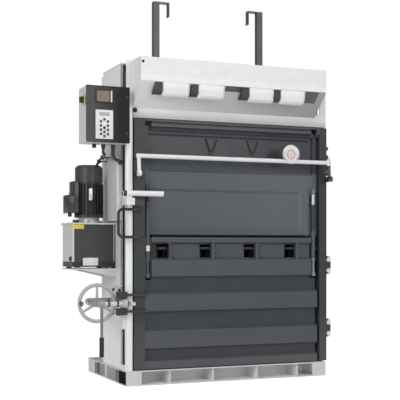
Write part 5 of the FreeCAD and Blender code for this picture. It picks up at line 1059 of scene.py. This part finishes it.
# %% Plugs and cap
dome = [(0, 0.006), (0.006, 0.0057), (0.011, 0.0042), (0.0145, 0.0015), (0.015, 0.0), (0.015, -0.001),
        (0, -0.001)]
small_dome = [(radius * 0.6, along * 0.7) for radius, along in dome]
header_low, header_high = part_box("header_strip")
header_hole = (-0.644, header_low.y, 1.704)
fascia_hole = (-0.645, hood_low.y + 0.0001, 1.979)
turned_piece("header_plug", dome, [header_hole], (0, -1, 0), 36, rubber, "frame")
turned_piece("fascia_plug", small_dome, [fascia_hole], (0, -1, 0), 32, rubber, "frame")
low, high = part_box("latch_handle")
turned_piece("handle_cap", [(0, -0.0003), (0.014, -0.0003), (0.0172, 0.0025), (0.0176, 0.006),
                            (0.0176, 0.023), (0.0171, 0.024), (0.0168, 0.024), (0, 0.024)],
             [(low.x + 0.0004, (low.y + high.y) / 2, high.z - 0.017)], (1, 0, 0), 40, rubber,
             "latch")

# %% Round disc
low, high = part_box("sign_disc")
centre = (low + high) / 2
disc_front = (centre.x, low.y, centre.z)
disc_r = (high.z - low.z) / 2
form = bmesh.new()
turned(form, [(0.019, 0.0003), (0.0195, 0.0009), (0.034, 0.0009), (0.0345, 0.0003), (0.0345, -0.0005),
              (0.019, -0.0005), (0.019, 0.0003)], disc_front, (0, -1, 0), sides=48)
turned(form, [(0, 0.0009), (0.008, 0.0009), (0.0085, 0.0003), (0.0085, -0.0005), (0, -0.0005)], disc_front,
       (0, -1, 0), sides=24)
piece_from_bmesh("disc_face", form, disc_rose, "bow")
turned_piece("disc_rim", [(disc_r - 0.0045, 0.0002), (disc_r - 0.0035, 0.0016), (disc_r - 0.0012, 0.0016),
                          (disc_r - 0.0004, 0.0004), (disc_r - 0.0004, -0.0005), (disc_r - 0.0045, -0.0005),
                          (disc_r - 0.0045, 0.0002)],
             [disc_front], (0, -1, 0), 64, disc_white, "bow")
screw_out = 0.042
bolts("disc_screws", [(centre.x + dx, low.y, centre.z) for dx in (-screw_out, screw_out)], "-y", "bow",
      radius=0.0035, height=0.0018, sides=16, washer=1.2)

# %% Tank plates, plug and filler cap
plate_front, plate_back = tank_low.y + 0.0046, tank_low.y + 0.007
box_piece("tank_yellow_plate", [((tank_low.x + 0.008, plate_front, 0.973),
                                 (tank_low.x + 0.078, plate_back, 1.0005))],
          yellow, "frame", bevel=0.0005)
box_piece("tank_white_plate", [((-0.917, plate_front, 0.744), (-0.819, plate_back, 0.792))],
          plate_white, "frame", bevel=0.0005)
turned_piece("tank_drain_plug", [(0, 0.012), (0.010, 0.012), (0.0115, 0.0105), (0.0115, 0.003),
                                 (0.018, 0.003), (0.018, -0.001), (0, -0.001)],
             [(tank_low.x + 0.006, tank_low.y + 0.05, tank_low.z + 0.05)], (-1, 0, 0), 24, fitting_black,
             "frame")
bolts("filler_cap_knurl", [(tank_low.x + 0.032, tank_low.y + 0.036, tank_high.z - 0.0225)], "+z", "frame",
      radius=0.0205, height=0.017, finish=fitting_black, sides=12, washer=0.9)

# %% [markdown]
# ## Gas struts and flap
# Each strut has a turned head at the top of its rod, and the left one has a pale band round its barrel,
# between the folded lips of its slot. The flap has a rubber seal along its lower edge and two V marks,
# built as round bars that end in low feet. Rollers on the cross rod lead the straps.

# %% Strut heads, band and slot lips
barrel_low, barrel_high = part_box("strut_barrels")
_, rod_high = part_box("strut_rods")
barrel_r = 0.014
strut_y = barrel_low.y + barrel_r
left_x, right_x = barrel_low.x + barrel_r, barrel_high.x - barrel_r
head_profile = [(0, 0.0), (0.0095, 0.0), (0.0120, 0.003), (0.0120, 0.020), (0.0100, 0.026), (0, 0.026)]
for side, x, finish in (("left", left_x, fitting_black), ("right", right_x, fitting_grey)):
    turned_piece("strut_head_" + side, head_profile, [(x, strut_y, rod_high.z - 0.034)], (0, 0, 1), 28,
                 finish, "flap")
band_low = 0.833
turned_piece("strut_foot_band", [(0.0142, 0), (0.0152, 0.001), (0.0152, 0.035), (0.0142, 0.036),
                                 (0.0138, 0.036), (0.0138, 0), (0.0142, 0)],
             [(left_x, strut_y, band_low)], (0, 0, 1), 32, white_paint, "door")
lip_front, lip_back = -0.4120, -0.4095
lip_low, lip_top = 0.684, 0.9175
lip_sides = ((-0.0078, -0.0010), (0.0290, 0.0345))
box_piece("strut_slot_lips", [((barrel_low.x + x0, lip_front, lip_low),
                               (barrel_low.x + x1, lip_back, lip_top)) for x0, x1 in lip_sides],
          door_paint, "door", bevel=0.0008)

# %% Flap seal, rod backing and V marks
flap_low, flap_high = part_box("flap_panel")
box_piece("flap_bottom_seal", [((flap_low.x + 0.012, flap_low.y - 0.0008, flap_low.z + 0.0005),
                                (flap_high.x - 0.012, flap_low.y + 0.004, flap_low.z + 0.0085))],
          rubber, "flap", bevel=0.0007)
box_piece("rod_backing", [((right_x - 0.0195, flap_low.y - 0.0006, 1.128),
                           (right_x + 0.017, flap_low.y + 0.002, 1.206))],
          rubber, "flap", bevel=0.001)
mark_xs = (-0.110, 0.182)
mark_top, mark_low, foot_height = 1.553, 1.474, 1.466
sheet_y = flap_low.y + 0.018
form = bmesh.new()
for x in mark_xs:
    for side in (-1, 1):
        bar(form, (x + side * 0.039, sheet_y, mark_top), (x + side * 0.010, sheet_y, mark_low),
            0.0042, 0.0052, sides=14)
# The V edges take the same near-black paint as the back plate.
piece_from_bmesh("flap_pocket_edges", form, shade_black_paint, "flap")
turned_piece("flap_pocket_feet", [(0, 0.004), (0.011, 0.004), (0.0135, 0.002), (0.0140, 0.0), (0, 0.0)],
             [(x, sheet_y, foot_height) for x in mark_xs], (0, -1, 0), 28, fitting_black,
             "flap")

# %% Strap rollers
rod_y, rod_z = -0.377, 0.853
roller_xs = (-0.458, -0.163, 0.147, 0.442)
turned_piece("strap_rollers", [(0.0079, -0.028), (0.0150, -0.028), (0.0150, -0.024), (0.0105, -0.021),
                               (0.0105, 0.021), (0.0150, 0.024), (0.0150, 0.028), (0.0079, 0.028),
                               (0.0079, -0.028)],
             [(x, rod_y, rod_z) for x in roller_xs], (1, 0, 0), 28, fitting_black, "door")

# %% [markdown]
# ## Rounded front post
# The post beside the door has bent corners, which catch a line of light that a sharp box wouldn't
# show. The section is drawn with wide arcs in front and small ones behind, and pulled up; four ties
# reach back to the column. The piece stands in for the plain CAD post.

# %% Rounded front post
low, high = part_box("left_post")
post_x1, post_y1 = low.x + 0.045, low.y + 0.035
front_bend, back_bend = 0.014, 0.006
section = []
for cx, cy, bend, start in ((low.x + front_bend, low.y + front_bend, front_bend, 180),
                            (post_x1 - front_bend, low.y + front_bend, front_bend, 270),
                            (post_x1 - back_bend, post_y1 - back_bend, back_bend, 0),
                            (low.x + back_bend, post_y1 - back_bend, back_bend, 90)):
    section += arc_points((cx, cy), bend, start, start + 90, 6)
tie_heights = ((0.095, 0.130), (0.350, 0.440), (1.120, 1.190), (1.660, 1.720))
form = bmesh.new()
near, far = [[(x, y, z) for x, y in section] for z in (low.z, high.z)]
prism(form, near, far)
for z0, z1 in tie_heights:
    bevelled_box(form, (low.x + 0.0005, post_y1 - 0.004, z0), (low.x + 0.040, high.y, z1), 0.002)
piece_from_bmesh("rounded_front_post", form, post_shine, "frame", ("left_post",))

# %% [markdown]
# ## Seals and a shade strip under the header
# Between header and flap the picture shows thin dark lines. The strip on the flap is a dark strip put
# in for the shade under the header. The two on the door are taken for rubber lips; they run only
# between the strut rods, so the rods don't cut them when the flap slides up.

# %% Lips under the header
rail_low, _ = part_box("door_rails")
rod_low, rod_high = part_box("strut_rods")
lip_x0, lip_x1 = rod_low.x + 0.034, rod_high.x - 0.034
# Painted shade: a dark strip for the shade under the header.
box_piece("flap_top_shade", [((-0.545, flap_low.y + 0.0165, 1.560), (0.600, flap_low.y + 0.019, 1.572))],
          rubber, "flap", bevel=0.0008)
box_piece("header_seal", [((lip_x0, rail_low.y - 0.0015, 1.630), (lip_x1, rail_low.y + 0.002, 1.641)),
                          ((lip_x0, rail_low.y + 0.008, 1.597), (lip_x1, rail_low.y + 0.016, 1.608))],
          rubber, "door", bevel=0.001)

# %% [markdown]
# ## Terminal box and cables
# The motor's terminal box has two steps, with a flat lid on the outer one. Its cable comes down from
# the cabinet and passes two clips on the column. A cable is a curve with a round bevel: the points are
# listed one by one, and the curve's own handles give it a soft run between them. Only its first stretch
# shows in the picture, so the rest of the route and the clips are guessed.

# %% Stepped terminal box and rating plate
low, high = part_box("terminal_box")
core_x = -0.9185
foot_z = high.z - 0.153
form = bmesh.new()
bevelled_box(form, (low.x + 0.028, low.y + 0.004, foot_z), (core_x, high.y - 0.004, high.z + 0.048), 0.004)
bevelled_box(form, (low.x - 0.007, low.y + 0.002, foot_z), (low.x + 0.040, high.y + 0.010, foot_z + 0.112),
             0.006, 3)
turned(form, [(0, 0), (0.011, 0), (0.0125, 0.002), (0.0125, 0.026), (0, 0.026)],
       (low.x + 0.014, low.y + 0.034, foot_z - 0.024), (0, 0, 1), sides=24)
piece_from_bmesh("motor_terminal_box", form, motor_paint, "frame", ("terminal_box",))
box_piece("terminal_lid", [((low.x - 0.0078, low.y - 0.0004, foot_z - 0.001),
                            (low.x + 0.002, high.y + 0.0124, foot_z + 0.113))],
          fitting_black, "frame", bevel=0.0015)
motor_low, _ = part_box("motor_body")
plate_x = -0.856
plate_low, plate_top = 1.155, 1.230
box_piece("motor_rating_plate", [((plate_x - 0.012, motor_low.y - 0.0012, plate_low),
                                  (plate_x + 0.012, motor_low.y + 0.003, plate_top))],
          zinc, "frame", bevel=0.0006)


# %% Motor cable and its clips
def cable(name, points, radius, body, finish):
    """A round cable through points, smoothed as a Bezier curve and turned into a plain mesh."""
    data = bpy.data.curves.new(name, "CURVE")
    data.dimensions = "3D"
    data.bevel_depth = radius
    data.bevel_resolution = 4
    data.resolution_u = 10
    data.use_fill_caps = True
    spline = data.splines.new("BEZIER")
    spline.bezier_points.add(len(points) - 1)
    for knot, place in zip(spline.bezier_points, points):
        knot.co = place
        knot.handle_left_type = knot.handle_right_type = "AUTO"
    return piece_from_mesh(name, plain_mesh(held(name + "_curve", data)), finish, body, smooth_angle=60)


clip_places = [(-0.765, -0.130, 1.432), (-0.752, -0.010, 1.418)]
pad_x = -0.7028
cable("motor_cable", [(-0.835, -0.378, 1.470), (-0.835, -0.375, 1.452), (-0.800, -0.290, 1.437), *clip_places,
                      (-0.790, 0.050, 1.330), (-0.900, 0.045, 1.225), (-0.945, -0.010, 1.205),
                      (-0.945, -0.045, 1.200)],
      0.0085, "frame", black_plastic)
form = bmesh.new()
for x, y, z in clip_places:
    bevelled_box(form, (x - 0.0125, y - 0.007, z - 0.0125), (x + 0.0125, y + 0.007, z + 0.0125), 0.003)
    bevelled_box(form, (x + 0.010, y - 0.006, z - 0.004), (pad_x + 0.0008, y + 0.006, z + 0.004), 0.001)
    bevelled_box(form, (pad_x, y - 0.010, z - 0.020), (pad_x + 0.0027, y + 0.010, z + 0.020), 0.0008)
piece_from_bmesh("cable_clips", form, fitting_black, "frame")

# %% Sleeve on the loop under the handle
bend = 0.028
loop_x, loop_y, loop_low, loop_top = -0.762, -0.455, 0.921, 1.090
loop_end, loop_start = -0.668, -0.690
sleeve = [(loop_end, loop_y, loop_low), (loop_start, loop_y, loop_low)]
sleeve += [(x, loop_y, z) for x, z in arc_points((loop_x + bend, loop_low + bend), bend, 270, 180, 8)]
sleeve += [(x, loop_y, z) for x, z in arc_points((loop_x + bend, loop_top - bend), bend, 180, 90, 8)]
sleeve += [(loop_start, loop_y, loop_top), (loop_end, loop_y, loop_top)]
cable("loop_sleeve", sleeve, 0.0088, "door", rubber)

# %% [markdown]
# ## Last screws and knobs
# Sheet covers are held by small round heads, which the bolt tree makes with sixteen sides. The header's
# rivets and the bolts of the left stile are painted over. Two turned knobs sit high on the right stile.

# %% Screws on duct, terminal box, header and stile
low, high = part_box("duct_cover")
bolts("duct_screws", [(low.x + 0.0004, y, z) for y in (low.y + 0.022, (low.y + high.y) / 2, high.y - 0.022)
                      for z in (low.z + 0.018, high.z - 0.018)], "-x", "frame", radius=0.0045, height=0.003,
      sides=16, washer=1.5)
low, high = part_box("terminal_box")
bolts("terminal_box_screws", [(low.x - 0.0065, y, z) for y in (low.y + 0.010, high.y + 0.002)
                              for z in (high.z - 0.050, high.z - 0.144)], "-x", "frame", radius=0.0035,
      height=0.002, sides=16, washer=1.2)
bolts("header_rivets", [(x, header_low.y + 0.0002, header_high.z - 0.014)
                        for x in (-0.45, -0.15, 0.15, 0.45)],
      "-y", "frame", radius=0.0045, height=0.002, finish=frame_paint,
      sides=16, washer=1.2)
stile_low, stile_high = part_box("door_stiles")
knob_heights = (1.467, 1.522)
turned_piece("stile_knobs", [(0, 0.026), (0.008, 0.026), (0.0125, 0.022), (0.0135, 0.014), (0.0110, 0.006),
                             (0.0085, -0.001), (0, -0.001)],
             [(stile_high.x, stile_low.y + 0.030, z) for z in knob_heights], (1, 0, 0), 24, fitting_black,
             "door")
bolt_heights = (0.16, 0.40, 0.66, 1.28, 1.60)
bolts("stile_bolts", [(stile_low.x + 0.054, stile_low.y + 0.0002, z) for z in bolt_heights],
      "-y", "door", radius=0.007, height=0.005, finish=stile_paint)

# %% [markdown]
# ## Weld beads
# Where tubes and plates meet, a bead of overlapping drops is left by the torch. The tree resamples
# each straight seam every few millimetres and sets a drop at every sample, with a little seeded
# variation of size. A round bar along the seam would be simpler, but has no ripples.


# %% Weld tree
def weld_tree():
    tree, inputs = new_tree("weld_beads", [("Seams", "Geometry", None), ("Bead radius", "Float", 0.0035),
                                           ("Step", "Float", 0.004), ("Seed", "Int", 7),
                                           ("Finish", "Material", None)])
    curve = add(tree, "GeometryNodeMeshToCurve")
    wire(tree, inputs["Seams"], curve.inputs[0])
    sampled = add(tree, "GeometryNodeResampleCurve")
    if hasattr(sampled, "mode"):
        sampled.mode = "LENGTH"
    else:
        sampled.inputs["Mode"].default_value = "Length"
    wire(tree, curve.outputs[0], sampled.inputs["Curve"])
    wire(tree, inputs["Step"], sampled.inputs["Length"])
    drop = add(tree, "GeometryNodeMeshUVSphere", Segments=8, Rings=5)
    wire(tree, inputs["Bead radius"], drop.inputs["Radius"])
    spread = add(tree, "GeometryNodeInstanceOnPoints")
    wire(tree, sampled.outputs[0], spread.inputs["Points"])
    wire(tree, drop.outputs["Mesh"], spread.inputs["Instance"])
    vary = add(tree, "FunctionNodeRandomValue", {"data_type": "FLOAT"})
    vary.inputs[2].default_value = 0.85
    vary.inputs[3].default_value = 1.1
    wire(tree, inputs["Seed"], vary.inputs["Seed"])
    wire(tree, vary.outputs[1], spread.inputs["Scale"])
    return end_tree(tree, inputs, spread.outputs[0])


WELDS = weld_tree()


def welds(name, seams, body, finish, radius=0.0035, seed=7):
    """One piece of weld beads, one along each (start, end) seam."""
    points = [point for seam in seams for point in seam]
    edges = [(2 * i, 2 * i + 1) for i in range(len(seams))]
    mesh = run_tree(name, WELDS, points, edges, {"Bead radius": radius, "Step": radius * 1.2, "Seed": seed,
                                                 "Finish": finish})
    return piece_from_mesh(name, mesh, None, body, smooth_angle=60)


print("weld tree nodes:", len(WELDS.nodes))

# %% Welds on the left side and on the door's lugs
shelf_low, shelf_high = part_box("tank_shelf")
side_x = -0.700
shelf_y = shelf_low.y + 0.001
base_top = 0.0955
lock_plate_ys, lock_plate_low, lock_plate_top = (-0.3345, -0.1755), 0.421, 0.609
seams = [((side_x, y, lock_plate_low), (side_x, y, lock_plate_top)) for y in lock_plate_ys]
seams += [((side_x, shelf_y, shelf_low.z + 0.006), (side_x, shelf_y, shelf_high.z - 0.020)),
          ((side_x, -0.33, base_top), (side_x, 0.060, base_top))]
welds("frame_welds", seams, "frame", frame_paint)
lug_x, lug_root, lug_front = -0.5775, -0.4205, -0.4385
lug_heights = (0.559, 0.573, 0.457, 0.471)
welds("lug_welds", [((lug_x, lug_root, z), (lug_x, lug_front, z)) for z in lug_heights],
      "door", stile_paint, radius=0.003, seed=3)
